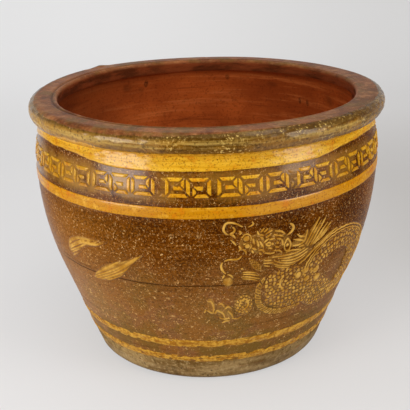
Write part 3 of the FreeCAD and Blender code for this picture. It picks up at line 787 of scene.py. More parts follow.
def brushed_band(node, relief, waver, dry, seed, notches=(), climb=((0, 0),)):
    """A skin of slip over a band's place, sunk into the wall past its edges, dry gaps and notches.
    Where the brush climbed, turns in degrees and heights say how far."""
    low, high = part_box(node)[0].z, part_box(node)[1].z
    rows = int((high - low + 2 * BAND_MARGIN) / BAND_ROW)
    ends = (low - BAND_MARGIN, min(high + BAND_MARGIN, NECK))
    outline = run_up(*ends, rows) + run_up(*ends, 5, -BAND_ROOT)[::-1]
    shell = turned(outline, BAND_STEPS)
    angle, radius, height = cylindrical(shell)
    skin = radius > wall_radius(height, -0.5 * BAND_ROOT)
    rise = np.interp(np.degrees(angle), *np.transpose(climb)) * MM
    lower = low + rise + waver * ripple(angle, seed)
    blur = BAND_SOFT
    for middle, width, depth in notches:
        dip = np.exp(-((np.degrees(angle) - middle) / width) ** 4)
        lower = lower + depth * dip
        blur = blur + 0.5 * depth * dip
    upper = high + rise + waver * ripple(angle, seed + 1) if high < NECK - MM else NECK + BAND_MARGIN
    inside = np.minimum((height - lower) / blur, (upper - height) / BAND_SOFT)
    inside = inside - dry * 3 * np.clip(patchiness(angle, height, seed + 2) - 0.4, 0, 1)
    out = relief * np.clip(inside, -0.9, 1) * (1 + 0.12 * patchiness(angle, height, seed + 3))
    out = np.where(skin, np.maximum(out, -BAND_SUNK), 0)
    move_to(shell, around(angle, radius + hand(angle, height) + out, height))
    mark(shell, "slip", np.clip(inside * 0.8 + 0.2, 0, 1))
    return shell


# A notch has a turn, a width and a depth; a climb has turns and heights in millimetres.
COLLAR_NOTCHES = ((-56, 20, 6.5 * MM), (57, 19, 7 * MM))
GIRDLE_CLIMB = ((-180, 0), (15, 0), (30, 1.5), (45, 3), (60, 4), (75, 4), (140, 0))
BANDS = (("collar_band", yellow_slip, (1.6 * MM, 1.1 * MM, 0.0, 11, COLLAR_NOTCHES)),
         ("girdle_band", yellow_slip, (1.0 * MM, 0.4 * MM, 0.0, 21, (), GIRDLE_CLIMB)),
         ("foot_band_upper", dry_slip, (0.8 * MM, 1.4 * MM, 0.6, 31)),
         ("foot_band_lower", dry_slip, (0.8 * MM, 1.6 * MM, 1.3, 41)))
for node, finish, brush in BANDS:
    settle("brushed_" + node, brushed_band(node, *brush), [finish], "yellow_slip", node)

# %% [markdown]
# ## The key fret
# Each pair of the fret is one stroke that winds in, runs on and winds in again, stamped bar by bar by hand. A
# bar is a small grid whose ends are cut to a mitre and whose top is pillowed. The stamped pairs at the front
# are uneven, and two overlap the pair before, so their places are listed, and the hidden ones follow at an
# even step. The slip is rubbed thinner towards both sides.

# %% Fret slip
fret_slip = Finish("fret_slip")
slip, slip_relief = slip_colour(fret_slip)
rubbed = fret_slip.noise(90, 4, 0.6)
side = fret_slip.axis("X")
cover = fret_slip.ramp(fret_slip.marked("slip") + 0.6 * (rubbed - 0.5), 0.2, 0.62)
cover = cover * (1 - 0.35 * fret_slip.ramp(side, -0.06, -0.16) - 0.2 * fret_slip.ramp(side, 0.1, 0.18))
slip = over_glaze(fret_slip, cover, slip)
fret_slip.wear(slip, 0.2 + 0.1 * rubbed, slip_relief, FINE_DEPTH, SLIP_SHINE)
fret_slip.glassy_shoulder()
print("fret slip nodes:", len(fret_slip.tree.nodes))

# %% Fret bars
FRET_HEIGHT = 25 * MM
FRET_BAR = 5 * MM
FRET_SLOT = 1.6 * MM
FRET_LANE = 2.2 * MM
FRET_END = 4.2 * MM
FRET_CORE = 12 * MM
FRET_MITRE = 0.9 * MM
FRET_RELIEF = 1.6 * MM
SPIRAL_WIDTH = 24.2 * MM
KEY_WIDTH = 30.2 * MM
SPIRAL_BARS = 5
BAR_CELLS = (7, 6)
FRET_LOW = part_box("fret_keys")[0].z
SEEN_PAIRS = (-50.5, -36.2, -22.7, -12.4, 2.6, 16.7, 26.5, 41.0, 55.0)
HIDDEN_PAIRS = 17
COVERED_STEP = 12
COVERED_BARS = 6
PRESSED = 0.25
BAR_THICKNESS = 1.2 * MM
BAR_SUNK = 0.5 * MM
BAR_SHIFT = 0.22 * MM
SPIRAL_SEED, KEY_SEED = 5, 6


def fret_path():
    """Corners of the stroke's centre line, across and up from the pair's lower left corner."""
    half = FRET_BAR / 2
    top, low = FRET_HEIGHT - half, half
    spiral_right = SPIRAL_WIDTH - half
    key_left = SPIRAL_WIDTH + FRET_SLOT + half
    key_right = SPIRAL_WIDTH + FRET_SLOT + KEY_WIDTH - half
    inner_left = key_left + FRET_BAR + FRET_LANE
    spiral = [(FRET_BAR + FRET_END, FRET_CORE), (spiral_right, FRET_CORE), (spiral_right, top), (half, top),
              (half, low)]
    key = [(key_left, low), (key_left, top), (key_right, top), (key_right, low), (inner_left, low),
           (inner_left, FRET_CORE), (key_right - half - FRET_END, FRET_CORE)]
    return np.array(spiral + key)


def mitre(path, corner):
    """How an end is cut at a corner of the path: +1 or -1 for a turn, 0 where the stroke is free."""
    if corner in (0, len(path) - 1):
        return 0
    before, after = path[corner] - path[corner - 1], path[corner + 1] - path[corner]
    return np.sign(before[0] * after[1] - before[1] * after[0])


def add_bar(shell, path, index, start, dice, faint):
    """One pillowed bar of the stroke, bent on to the wall, and faint where the next stamp pressed it flat."""
    across, along = BAR_CELLS
    grid = bmesh.ops.create_grid(shell, x_segments=across, y_segments=along, size=1)["verts"]
    share = np.array([vert.co.xy for vert in grid])
    u, v = (share[:, 0] + 1) / 2, share[:, 1]
    begin, end = path[index], path[index + 1]
    length = np.hypot(*(end - begin))
    ahead = (end - begin) / length
    left = np.array([-ahead[1], ahead[0]])
    half = FRET_BAR / 2 * dice.uniform(0.98, 1.14)
    first = mitre(path, index) * half * v + FRET_MITRE * 0.7 * abs(mitre(path, index))
    last = length - mitre(path, index + 1) * half * v - FRET_MITRE * 0.7 * abs(mitre(path, index + 1))
    travel = first + u * (last - first)
    flat = begin + travel[:, None] * ahead + (v * half)[:, None] * left
    flat = flat + dice.normal(0, BAR_SHIFT, 2)
    ends = np.minimum(travel - first, last - travel) / (0.4 * FRET_BAR)
    pillow = np.clip((1 - v ** 8) * np.clip(ends, 0, 1) ** 0.3, 0, 1)
    out = FRET_RELIEF * dice.uniform(0.75, 1.05) * pillow * faint - BAR_SUNK * (1 - pillow)
    height = FRET_LOW + flat[:, 1]
    angle = np.radians(start) + flat[:, 0] / wall_radius(FRET_LOW)
    spots = around(angle, wall_radius(height) + hand(angle, height) + out, height)
    layer = shell.verts.layers.float["slip"]
    for vert, spot, value in zip(grid, spots, pillow * (0.12 + 0.88 * faint)):
        vert.co = spot
        vert[layer] = value


def fret(bars, seed):
    """The same bars of every pair round the jar."""
    shell = bmesh.new()
    shell.verts.layers.float.new("slip")
    dice = np.random.default_rng(seed)
    path = fret_path()
    step = (360 - SEEN_PAIRS[-1] + SEEN_PAIRS[0]) / (HIDDEN_PAIRS + 1)
    starts = list(SEEN_PAIRS) + [SEEN_PAIRS[-1] + step * (pair + 1) for pair in range(HIDDEN_PAIRS)]
    for start, following in zip(starts, starts[1:] + [starts[0] + 360]):
        covered = following - start < COVERED_STEP
        for index in bars:
            pressed = covered and index >= COVERED_BARS
            add_bar(shell, path, index, start, dice, PRESSED if pressed else 1.0)
    bmesh.ops.recalc_face_normals(shell, faces=shell.faces)
    bmesh.ops.solidify(shell, geom=shell.faces[:], thickness=BAR_THICKNESS)
    return shell


fret_bars = range(len(fret_path()) - 1)
spirals = fret(fret_bars[:SPIRAL_BARS], SPIRAL_SEED)
settle("stamped_spirals", spirals, [fret_slip], "fret_slip", "fret_spirals")
keys = fret(fret_bars[SPIRAL_BARS:], KEY_SEED)
settle("stamped_keys", keys, [fret_slip], "fret_slip", "fret_keys")

# %% [markdown]
# ## Pressed-on relief
# The dragon and the cloud wisps are thin clay pressed on to the wall and drawn into with a tool. Sculpting
# them by hand would hide how they were made. Here each piece is drawn flat, in degrees round the jar and
# millimetres of height, as masses, lines and pellets. A fine grid over the drawing is raised by them, trimmed
# where they end, and laid on the wall, so ridges, scales and edges are real geometry.

# %% Relief slip
RELIEF_SHINE = 0.06
relief_slip = Finish("relief_slip")
rub = relief_slip.noise(75, 4, 0.6)
grain = relief_slip.noise(260, 3, 0.6)
ochre = relief_slip.coats(
    (172, 120, 34),
    (relief_slip.ramp(rub, 0.34, 0.66), 212, 165, 76),
    (relief_slip.ramp(grain, 0.46, 0.3) * 0.35, 140, 86, 28))
cover = relief_slip.ramp(relief_slip.marked("slip") + 0.25 * (rub - 0.5), 0.08, 0.85)
ochre = over_glaze(relief_slip, cover, ochre)
relief_slip.wear(ochre, 0.28 + 0.12 * rub, grain + rub, FINE_DEPTH, RELIEF_SHINE)
print("relief slip nodes:", len(relief_slip.tree.nodes))

# %% Lines
# A degree round the jar is this many millimetres on the flat drawing.
DEGREE = 4.15
LINE_CUTS = 6


def smooth_line(points, closed=False):
    """A smooth line through a few points, with as many columns as they have."""
    points = np.array(points, float)
    points[:, 0] *= DEGREE
    if closed:
        points = np.vstack([points[-1:], points, points[:2]])
    else:
        points = np.vstack([2 * points[0] - points[1], points, 2 * points[-1] - points[-2]])
    steps = np.linspace(0, 1, LINE_CUTS, endpoint=False)[:, None]
    spans = []
    for a, b, c, d in zip(points, points[1:], points[2:], points[3:]):
        bent = (2 * a - 5 * b + 4 * c - d) * steps ** 2 + (3 * b - a - 3 * c + d) * steps ** 3
        spans.append(b + 0.5 * ((c - a) * steps + bent))
    return np.vstack(spans + [points[-2:-1]])


def nearest(spots, line):
    """How far each spot is from a line, along it and to its left, and the nearest place on it."""
    gap = np.full(len(spots), np.inf)
    along, across, share = np.zeros((3, len(spots)))
    travelled = 0.0
    for index, (a, b) in enumerate(zip(line[:, :2], line[1:, :2])):
        step = b - a
        length = max(np.hypot(*step), 1e-6)
        part = np.clip((spots - a) @ step / length ** 2, 0, 1)
        off = spots - a - part[:, None] * step
        distance = np.hypot(off[:, 0], off[:, 1])
        near = distance < gap
        gap[near] = distance[near]
        along[near] = (travelled + part * length)[near]
        across[near] = ((step[0] * off[:, 1] - step[1] * off[:, 0]) / length)[near]
        share[near] = (index + part)[near]
        travelled += length
    return gap, along, across, share


def ramp(value, low, high):
    """A smooth step from 0 at low to 1 at high."""
    share = np.clip((value - low) / (high - low), 0, 1)
    return share * share * (3 - 2 * share)


print("points on a line through three:", len(smooth_line([(0, 0), (1, 4), (2, 0)])))

# %% Masses
class Ribbon:
    """A mass along a line whose points also give half its width."""

    def __init__(self, points, rise, tint, pattern=None, soft=0.8):
        self.line = smooth_line(points)
        self.rise, self.tint, self.pattern, self.soft = rise, tint, pattern, soft

    def reach(self):
        half = self.line[:, 2:].max()
        return self.line[:, :2].min(0) - half, self.line[:, :2].max(0) + half

    def measure(self, spots):
        gap, along, across, share = nearest(spots, self.line)
        half = np.interp(share, np.arange(len(self.line)), self.line[:, 2])
        return half - gap, along, across, half


class Patch:
    """A mass inside a closed outline, with a spine for its pattern to follow."""

    def __init__(self, points, rise, tint, pattern=None, spine=None, soft=0.8):
        self.edge = smooth_line(points, closed=True)
        self.spine = smooth_line(spine or points[:2])
        self.rise, self.tint, self.pattern, self.soft = rise, tint, pattern, soft

    def reach(self):
        return self.edge.min(0), self.edge.max(0)

    def measure(self, spots):
        crossings = np.zeros(len(spots), int)
        for (x0, y0), (x1, y1) in zip(self.edge, self.edge[1:]):
            if y0 != y1:
                level = (spots[:, 1] - y0) / (y1 - y0)
                crossings += (level >= 0) & (level < 1) & (spots[:, 0] < x0 + level * (x1 - x0))
        gap = nearest(spots, self.edge)[0]
        along, across = nearest(spots, self.spine)[1:3]
        return np.where(crossings % 2, gap, -gap), along, across, gap


button = Patch([(0, 4), (1, 0), (0, -4), (-1, 0)], 1.0, 0.3)
print("depth at the middle of a button:", button.measure(np.zeros((1, 2)))[0].round(1))

# %% [markdown]
# ## Scales, plates and brush marks
# The potter drew scales and plates into the soft clay, and a dry brush left streaks in the wisps. A picture
# of them would lie flat, so each is a rule that gives a height from the place along and across a mass. No two
# scales are alike: their middles are shaken, and a dark joint is left where two are equally near.

# %% Patterns
def scales(width):
    """Overlapping round scales whose tips point along, each with a raised lip, some of them worn."""
    radius, step = 0.58 * width, 0.5 * width

    def pattern(along, across, half):
        lip = np.zeros_like(along)
        covered = np.zeros(len(along), bool)
        along = along + 0.12 * width * np.sin(across / width * 2.3)
        across = across + 0.14 * width * np.sin(along / width * 1.7)
        for behind in (2, 1, 0):
            row = np.floor(along / step) - behind
            shift = 0.5 * (row % 2)
            column = np.round(across / width - shift) + shift
            reach = np.hypot(across - column * width, along - row * step) / radius
            hit = ~covered & (reach < 1)
            worn = 0.6 + 0.4 * np.abs(np.sin(12.9 * row + 78.2 * column))
            lip = np.where(hit, worn * ramp(reach, 0.62, 0.88), lip)
            covered |= hit
        return lip
    return pattern


def pebbled(width):
    """Uneven scales in staggered rows, each a small swelling with a dark joint round it."""
    def pattern(along, across, half):
        nearest_gap, next_gap = np.full((2, len(along)), 9.0)
        worn = np.zeros(len(along))
        for ahead, beside in np.ndindex(3, 3):
            row = np.floor(along / width) + ahead - 1
            shift = 0.5 * (row % 2)
            column = np.floor(across / width - shift) + beside - 1
            dice = 12.9 * row + 78.2 * column
            middle = row + 0.5 + 0.24 * np.sin(dice), column + shift + 0.5 + 0.24 * np.sin(1.7 * dice)
            gap = np.hypot(along / width - middle[0], across / width - middle[1])
            closer = gap < nearest_gap
            next_gap = np.where(closer, nearest_gap, np.minimum(next_gap, gap))
            worn = np.where(closer, np.abs(np.sin(2.3 * dice)), worn)
            nearest_gap = np.minimum(nearest_gap, gap)
        return ramp(next_gap - nearest_gap, 0.08, 0.5) * (0.3 + 0.6 * worn)
    return pattern


def crested_scales(width):
    """Scales with two border lines along the left edge."""
    inner = pebbled(width)

    def pattern(along, across, half):
        edge = half - across - 0.9 * np.abs(np.sin(along / 2.6))
        border = np.maximum(1 - ((edge - 2.0) / 1.4) ** 2, 1 - ((edge - 6.2) / 1.2) ** 2)
        return np.where(edge < 8, np.clip(border, 0, 1), inner(along, across, half))
    return pattern


def plates(pitch):
    """Belly plates that lean side by side, each with a raised border and a dark joint."""
    def pattern(along, across, half):
        leaning = (along - 0.6 * across) / pitch
        cross = np.abs(leaning - np.round(leaning)) * pitch
        side = half - np.abs(across)
        border = np.clip(np.maximum(1 - ((cross - 1.7) / 1.4) ** 2, 1 - ((side - 1.3) / 1.1) ** 2), 0, 1)
        return np.maximum(0.85 * border, 0.3) * ramp(cross, 0.5, 1.8)
    return pattern


def brushed(seed):
    """Streaks of a dry brush along a stroke."""
    dice = np.random.default_rng(seed)
    waves = [(dice.uniform(0.5, 1.9), dice.normal(0, 0.05), dice.uniform(0, 6.3)) for wave in range(9)]

    def pattern(along, across, half):
        streak = sum(np.sin(a * across + b * along + c) for a, b, c in waves) / 3
        return np.clip(0.6 + 0.6 * streak, 0, 1)
    return pattern


print("heights along a row of scales:", pebbled(6.0)(np.arange(0, 12, 2), np.zeros(6), np.zeros(6)).round(2))

# %% Relief pieces
CELL = 0.65
EDGE = 3.0
LINE_HALF = 1.5
LINE_RISE = 1.3
SUNK = -1.0
MASS_SLOPE = 2.2
PATTERN_RISE = 1.1
PELLET_RISE = 1.5
PELLET_RING = -0.4
TRIM = 0.7 * SUNK
RELIEF_THICKNESS = 1.0 * MM


class Relief:
    """One pressed-on piece: masses, lines drawn on them, and round pellets."""

    def __init__(self, masses=(), lines=(), pellets=(), line_half=LINE_HALF, line_slip=1.5, pellet_slip=0.9):
        self.masses = masses
        self.line_slip = line_slip
        self.pellet_slip = pellet_slip
        self.lines = [smooth_line(line) for line in lines]
        self.pellets = [(angle * DEGREE, height, radius) for angle, height, radius in pellets]
        self.line_half = line_half

    def reach(self):
        """Two corners of the flat drawing."""
        corners = [mass.reach() for mass in self.masses]
        corners += [(line.min(0), line.max(0)) for line in self.lines]
        for x, y, radius in self.pellets:
            corners.append((np.array([x, y]) - radius, np.array([x, y]) + radius))
        lows, highs = zip(*corners)
        return np.min(lows, 0) - EDGE, np.max(highs, 0) + EDGE

    def form(self, spots):
        """How far each spot stands out, in millimetres, and how much slip lies there."""
        out = np.full(len(spots), SUNK)
        slip = np.zeros(len(spots))
        for mass in self.masses:
            depth, along, across, half = mass.measure(spots)
            pattern = mass.pattern(along, across, half) if mass.pattern else 0 * depth
            pattern = pattern * ramp(depth, 0.2, 1.4)
            level = mass.rise * ramp(depth, 0, MASS_SLOPE) + PATTERN_RISE * pattern
            level = level + SUNK * ramp(-depth, 0, 0.9)
            higher = level > out
            out = np.where(higher, level, out)
            slip = np.where(higher, np.maximum(mass.tint, pattern) * ramp(depth, -0.3, mass.soft), slip)
        bed = np.maximum(out, 0)
        for line in self.lines:
            gap, along, across, share = nearest(spots, line)
            taper = 0.62 + 0.38 * np.sin(np.pi * share / (len(line) - 1))
            ridge = np.maximum(1 - (gap / (self.line_half * taper)) ** 2, SUNK)
            out = np.maximum(out, bed + LINE_RISE * ridge)
            slip = np.maximum(slip, np.clip(self.line_slip * ridge, 0, 1))
        for x, y, radius in self.pellets:
            dome = 1 - ((spots[:, 0] - x) ** 2 + (spots[:, 1] - y) ** 2) / radius ** 2
            out = np.where(dome > PELLET_RING, np.minimum(bed, 0.8) + PELLET_RISE * dome, out)
            daub = self.pellet_slip * (0.5 + 0.5 * dome)
            slip = np.where(dome > 0, daub, np.where(dome > PELLET_RING, 0.0, slip))
        return out, slip


def lay_relief(node, relief, turn, slot):
    """Raises a grid by the drawing, trims it and lays it on the wall, turned round the jar."""
    low, high = relief.reach()
    cells = np.ceil((high - low) / CELL).astype(int)
    sheet = bmesh.new()
    bmesh.ops.create_grid(sheet, x_segments=cells[0], y_segments=cells[1], size=1)
    share = (np.array([vert.co.xy for vert in sheet.verts]) + 1) / 2
    spots = low + share * (high - low)
    out, slip = relief.form(spots)
    angle = np.radians(spots[:, 0] / DEGREE + turn)
    height = spots[:, 1] * MM
    move_to(sheet, around(angle, wall_radius(height) + hand(angle, height) + out * MM, height))
    mark(sheet, "slip", slip)
    spare = [vert for vert, rise in zip(sheet.verts, out) if rise < TRIM]
    bmesh.ops.delete(sheet, geom=spare, context="VERTS")
    bmesh.ops.recalc_face_normals(sheet, faces=sheet.faces)
    bmesh.ops.solidify(sheet, geom=sheet.faces[:], thickness=RELIEF_THICKNESS)
    settle("pressed_" + node, sheet, [relief_slip], slot, node)


print("grid cells in a centimetre:", round(10 / CELL, 1))

# %% [markdown]
# ## The dragon
# It faces left: a curled nose, a crest of short strokes, a mane that streams back, a neck that rises into an
# arch of scales, and a coil with belly plates and bubbles. Each named piece of the solids has its own drawing
# here, and both sides of the jar take the same drawings.

# %% Dragon drawings
DRAGON = {
    "head": Relief(
        [Patch([(8.6, 229), (9.8, 242), (13.5, 243), (17, 249), (21.5, 244), (24.6, 233), (25, 221),
                (22, 216), (17, 213), (13, 217), (9.6, 222)], 0.5, 0.28)],
        [[(12.6, 260), (12.9, 257), (12.3, 255), (11.5, 253.8)], [(6.4, 237.5), (7.2, 234), (7.9, 230)],
         [(9.6, 240), (10.4, 243.5), (11.4, 243.6), (12.1, 240), (12.3, 235)],
         [(10.2, 230.2), (11.4, 231), (12.4, 227.5), (12.2, 224.3)], [(12.9, 236.5), (13.4, 229.5)],
         [(14.2, 233.5), (14.8, 225.5)], [(15.1, 231.5), (16.3, 223)],
         [(8.8, 228), (9.3, 224.5), (8.8, 221.5)], [(10, 223.5), (10.8, 220), (11, 216.5)],
         [(12.9, 223.8), (14, 221)], [(12.8, 220.5), (13.2, 216.5)],
         [(14.2, 246.5), (14.6, 242)], [(15.3, 245), (16.2, 249.5)], [(16.3, 244.5), (17.3, 248.5)],
         [(17, 242), (18.6, 245)], [(15, 241.5), (16, 240)], [(17, 236.5), (18.2, 239.5)],
         [(15.3, 238), (16, 235)], [(16.4, 229.5), (17.8, 234.5)], [(18, 232.5), (19.6, 233.5)],
         [(20.5, 232.5), (21.8, 231)], [(19.8, 243.8), (21.8, 241.5), (22.9, 237.5)],
         [(21, 237), (22.4, 234.5)], [(19.4, 239), (20.8, 236.5)],
         [(17.4, 228.5), (17.2, 226), (18, 224.2), (18.6, 226), (18.3, 228.3), (17.4, 228.5)],
         [(17.8, 221.5), (19, 219.5)], [(20.2, 221), (21.2, 220)], [(22.1, 230), (22.4, 226), (22.6, 222)],
         [(23.1, 222.5), (24, 229.4), (25.1, 224), (25.3, 218), (24.8, 212.5), (23.6, 214), (23.1, 222.5)],
         [(17, 214.5), (18.5, 212.5), (20, 212.5)], [(19.8, 215.5), (21.5, 214.5), (22.6, 211)],
         [(15, 220), (16, 219.5), (16.6, 216.5)], [(15.2, 215.5), (15.8, 213)]],
        [(11, 238, 4.2), (11.3, 227.6, 3.4), (19.1, 226, 2.2), (20.8, 226.6, 2.2), (24.2, 220.5, 2.6)]),
    "nose_flame": Relief(
        lines=[[(9.6, 254.8), (8.2, 258.5), (6.5, 261), (5, 260.6), (4.3, 255.5), (4.3, 250.5), (4.9, 247),
                (5.5, 245.5)],
               [(6.9, 255), (7.4, 252), (7.2, 248.5), (6.3, 245.8), (7.2, 243), (7.6, 240.5)],
               [(8.8, 249.5), (9.2, 246.8), (9, 244.5)]], line_half=1.8),
    "horn": Relief(
        lines=[[(24.7, 249.8), (25.5, 247), (25.8, 243), (25.3, 238.5), (24, 235.3)]], line_half=2.2),
    "whisker": Relief(
        lines=[[(4.7, 208.8), (6, 210.2), (8, 209.6), (9, 211), (9.6, 213.8)],
               [(3.9, 206), (3.6, 202), (3.7, 198), (4.2, 193.5), (4.9, 190)]], line_half=1.8),
    "pearl": Relief(lines=[[(5.7, 188.5), (6.7, 186), (7.3, 182)], [(4.6, 187.5), (4.1, 183)]],
                    pellets=[(5.8, 176.5, 7.2)], pellet_slip=0.65),
    "neck": Relief(
        [Ribbon([(17.2, 203.5, 4), (21, 202, 9), (25.5, 200.5, 11), (29, 202, 11), (32, 207, 9)], 0.9, 0.3)],
        [[(17, 203.5), (19, 202.5)], [(16.8, 199), (19.8, 198.5)], [(17, 195.5), (19, 193.5)],
         [(20.2, 201), (22.5, 196.5), (26, 193), (29, 194.3), (31, 199)],
         [(20, 196.5), (22, 192.5), (25, 189.4), (28, 189.6)], [(20.8, 192), (23, 188), (26, 186)],
         [(24, 210.5), (26, 211.5), (29, 210)], [(19.5, 206.5), (23, 206), (27, 206.5), (30.5, 210.5)],
         [(21.5, 203), (25, 201.5), (28.5, 203), (31.6, 208.5)],
         [(22.5, 199.4), (25.6, 197.2), (28.8, 198.4), (31.8, 204)]],
        line_slip=0.95),
    "mane": Relief(
        [Ribbon([(26, 219, 4), (28.5, 221, 6.5), (30.6, 227, 6), (31, 236, 1.2)], 0.9, 0.35),
         Ribbon([(30.2, 211, 4.2), (32.2, 228, 4.6), (35.2, 248.8, 0.6)], 0.9, 0.35),
         Ribbon([(31.8, 211, 4.2), (34.5, 228, 4.6), (37.8, 245.5, 0.6)], 0.9, 0.35),
         Ribbon([(33.2, 211, 3.6), (36.4, 223, 4.2), (40.3, 236.4, 0.6)], 0.9, 0.35),
         Ribbon([(29.5, 187, 1.6), (31.5, 193, 3), (34.1, 202.7, 3.6), (37.1, 211.1, 3.6), (40.2, 219, 2.6),
                 (43.7, 224.8, 0.6)], 0.9, 0.35)],
        [[(27.3, 233), (28.5, 229), (30, 227.5)], [(26.3, 226.5), (28, 224.5), (29.6, 222)],
         [(26.2, 217.5), (28, 217), (29.6, 219.5), (30.4, 225), (30.9, 235)], [(28.5, 213.5), (30, 215)],
         [(30.8, 216), (32.6, 231), (35.2, 248.8)], [(31.6, 213), (33.8, 230), (36, 244)],
         [(32.8, 213), (35.2, 230), (37.8, 245.5)], [(33.6, 213), (36.2, 226), (38.8, 238)],
         [(34.4, 213), (37.2, 224.5), (40.3, 236.4)], [(36, 215.5), (38, 222.5), (40, 230.5)],
         [(29.5, 187), (31.5, 193), (34.1, 202.7), (37.1, 211.1), (40.2, 219), (43.7, 224.8)]]),
    "arch": Relief(
        [Ribbon([(34, 172, 11), (35.4, 182, 14), (38, 193, 16.5), (41.5, 202, 17.5), (45.5, 206.5, 17.5),
                 (50, 206, 17.5), (54.5, 199, 19), (58.5, 186, 23), (60.5, 168, 28), (60.5, 150, 28),
                 (58, 134, 23), (53, 121, 14)], 1.0, 0.08, crested_scales(6.4))]),
    "belly_plates": Relief(
        [Ribbon([(17.8, 177, 2.4), (16.4, 166, 4.2), (16.1, 154, 4.8), (16.5, 141, 5), (18.2, 128, 5),
                 (21.5, 118.5, 5.2), (26, 114, 5), (31, 114.5, 4), (35, 116, 2.4)], 1.0, 0.06, plates(9.0))]),
    "coil": Relief(
        [Patch([(18, 166), (18.6, 177), (21.2, 184.5), (25, 187.5), (29, 185), (33, 179), (38, 171),
                (41, 160), (43.5, 151), (47.5, 141), (53, 130), (55, 117), (50, 105), (44, 103),
                (39, 108), (35, 118), (31, 119), (26, 119.5), (21.8, 125.5), (19.4, 134), (18.2, 150)],
               1.0, 0.06, pebbled(6.0), [(80, 190), (-20, 110)])],
        [[(28.6, 172), (29.4, 168), (31.4, 165.4)], [(24.2, 176), (23.5, 167), (23.8, 159), (25.2, 151.5)]],
        [(30.2, 168.9, 5.6), (33.1, 174.2, 5.4), (37.8, 169.9, 6.2), (34.4, 159, 5.2), (39.4, 154.9, 6.2)]),
    "fore_claws": Relief(
        [Patch([(12.1, 208.4), (14, 206.5), (16, 198), (16.2, 188.5), (14.2, 190.8), (12.4, 200.8)], 0.7, 0.3,
               scales(4.6), [(11, 212), (17, 184)])],
        [[(10.4, 189.3), (12.6, 188.4), (14.6, 186.6)], [(10.5, 186.4), (13, 184.8), (15.7, 181.4)],
         [(10.2, 183), (13, 180.8), (16, 176.6)], [(10.5, 179.6), (12.8, 177.6), (15.2, 174.6)]],
        [(10, 195, 1.8)]),
    "haunch": Relief(
        [Patch([(8.3, 137.3), (8.8, 147.4), (10.7, 153), (13.1, 151.6), (14.6, 142), (15, 130), (13.8, 120.5),
                (11.6, 118.4), (9.3, 124.6)], 1.0, 0.1, pebbled(4.4), [(14, 160), (8, 110)])],
        [[(10, 137), (10.6, 144), (12, 146), (13, 140), (12.8, 132), (11.4, 128)]]),
    "hind_claws": Relief(
        [Patch([(2.3, 141), (4.1, 145.5), (6.2, 140), (8.1, 128.5), (8.4, 114.5), (6.3, 110), (3.7, 116),
                (2.4, 127)], 0.4, 0.26)],
        [[(3, 140), (4, 141.6), (4.9, 136)],
         [(2, 124.6), (2.4, 129.8), (3.6, 127.7), (4.7, 123.9), (5.3, 117.4)],
         [(3.5, 117), (5.1, 114.3), (6.9, 115)], [(4.6, 107.8), (5.7, 110.5), (7.2, 110.4)],
         [(6.4, 127.7), (7.5, 122.8), (8.3, 116.2)], [(8, 114.5), (9.7, 112.8), (11.3, 115.5)],
         [(5.3, 132.5), (6.3, 135.6), (7.4, 132.5)]], line_half=2.0, line_slip=0.75),
    "tail_leaf": Relief(
        [Patch([(-0.9, 149.4), (0.8, 151), (2, 141.3), (2, 128), (0.6, 123), (-0.6, 130)], 0.4, 0.32)],
        [[(-0.4, 146), (0.5, 146), (1.3, 138), (1.3, 127.4)], [(-0.8, 130.4), (0.6, 126.6), (2.4, 126.3)],
         [(-1.8, 127), (-1.3, 132)]], line_half=2.0, line_slip=0.75),
}
WISPS = {
    "wisp_left": Relief(
        [Patch([(-52.6, 195), (-50.2, 207), (-45, 217.5), (-40.7, 219.5), (-37, 223), (-33.8, 223.4),
                (-37, 216.5), (-41.5, 208), (-45.5, 196), (-50, 182), (-52, 185)], 0.3, 0.25, brushed(3),
               [(-54, 180), (-33, 226)], 9.0),
         Ribbon([(-52.2, 193, 4), (-49.6, 206, 7.5), (-45, 214.5, 8), (-40.5, 217.5, 8), (-36.8, 219.5, 6),
                 (-33.2, 223, 2)], 0.5, 0.55, brushed(7), 5.0)]),
    "wisp_right": Relief(
        [Ribbon([(-42, 161.5, 1.5), (-39, 168, 8), (-34.5, 177, 12.5), (-30, 187, 11.5), (-26, 198, 6.5),
                 (-22.5, 208, 3.5), (-19.5, 216.5, 0.4)], 0.5, 0.45, brushed(4), 3.5)]),
}
SIDES = (("front", 0), ("back", 180))
for side, turn in SIDES:
    for name, relief in DRAGON.items():
        lay_relief("%s_dragon_%s" % (side, name), relief, turn, "relief_slip")
    for name, relief in WISPS.items():
        lay_relief("%s_%s" % (side, name), relief, turn, "yellow_slip")

# %% [markdown]
# ## The stage
# A pale floor that curves up into a backdrop, three soft and slightly warm lamps on the left, on the right
# and overhead, and an even world. The wide lamp on the left is what the glassy shoulder mirrors.

# %% Floor and backdrop
FLOOR_REACH = 14.0
FLOOR_LENGTH = 18.0
FLOOR_CUTS = 120
CURVE_START = 1.6
CURVE_RADIUS = 1.2
PAPER_GLOW = 0.65
SEEING_RAYS = ("Is Camera Ray", "Is Glossy Ray", "Is Transmission Ray")


def backdrop():
    """One sheet that is the floor and curves up behind."""
    sheet = bmesh.new()
    bmesh.ops.create_grid(sheet, x_segments=2, y_segments=FLOOR_CUTS, size=1)
    for vert in sheet.verts:
        travel = (vert.co.y + 1) * FLOOR_LENGTH / 2 - FLOOR_REACH
        bent = max(travel - CURVE_START, 0.0)
        turn = min(bent / CURVE_RADIUS, math.pi / 2)
        back = min(travel, CURVE_START) + CURVE_RADIUS * math.sin(turn)
        rise = CURVE_RADIUS * (1 - math.cos(turn)) + bent - turn * CURVE_RADIUS
        vert.co = (vert.co.x * FLOOR_REACH, back, rise)
    bmesh.ops.recalc_face_normals(sheet, faces=sheet.faces)
    mesh = bpy.data.meshes.new("backdrop")
    sheet.to_mesh(mesh)
    sheet.free()
    mesh.shade_smooth()
    return bpy.data.objects.new("backdrop", mesh)


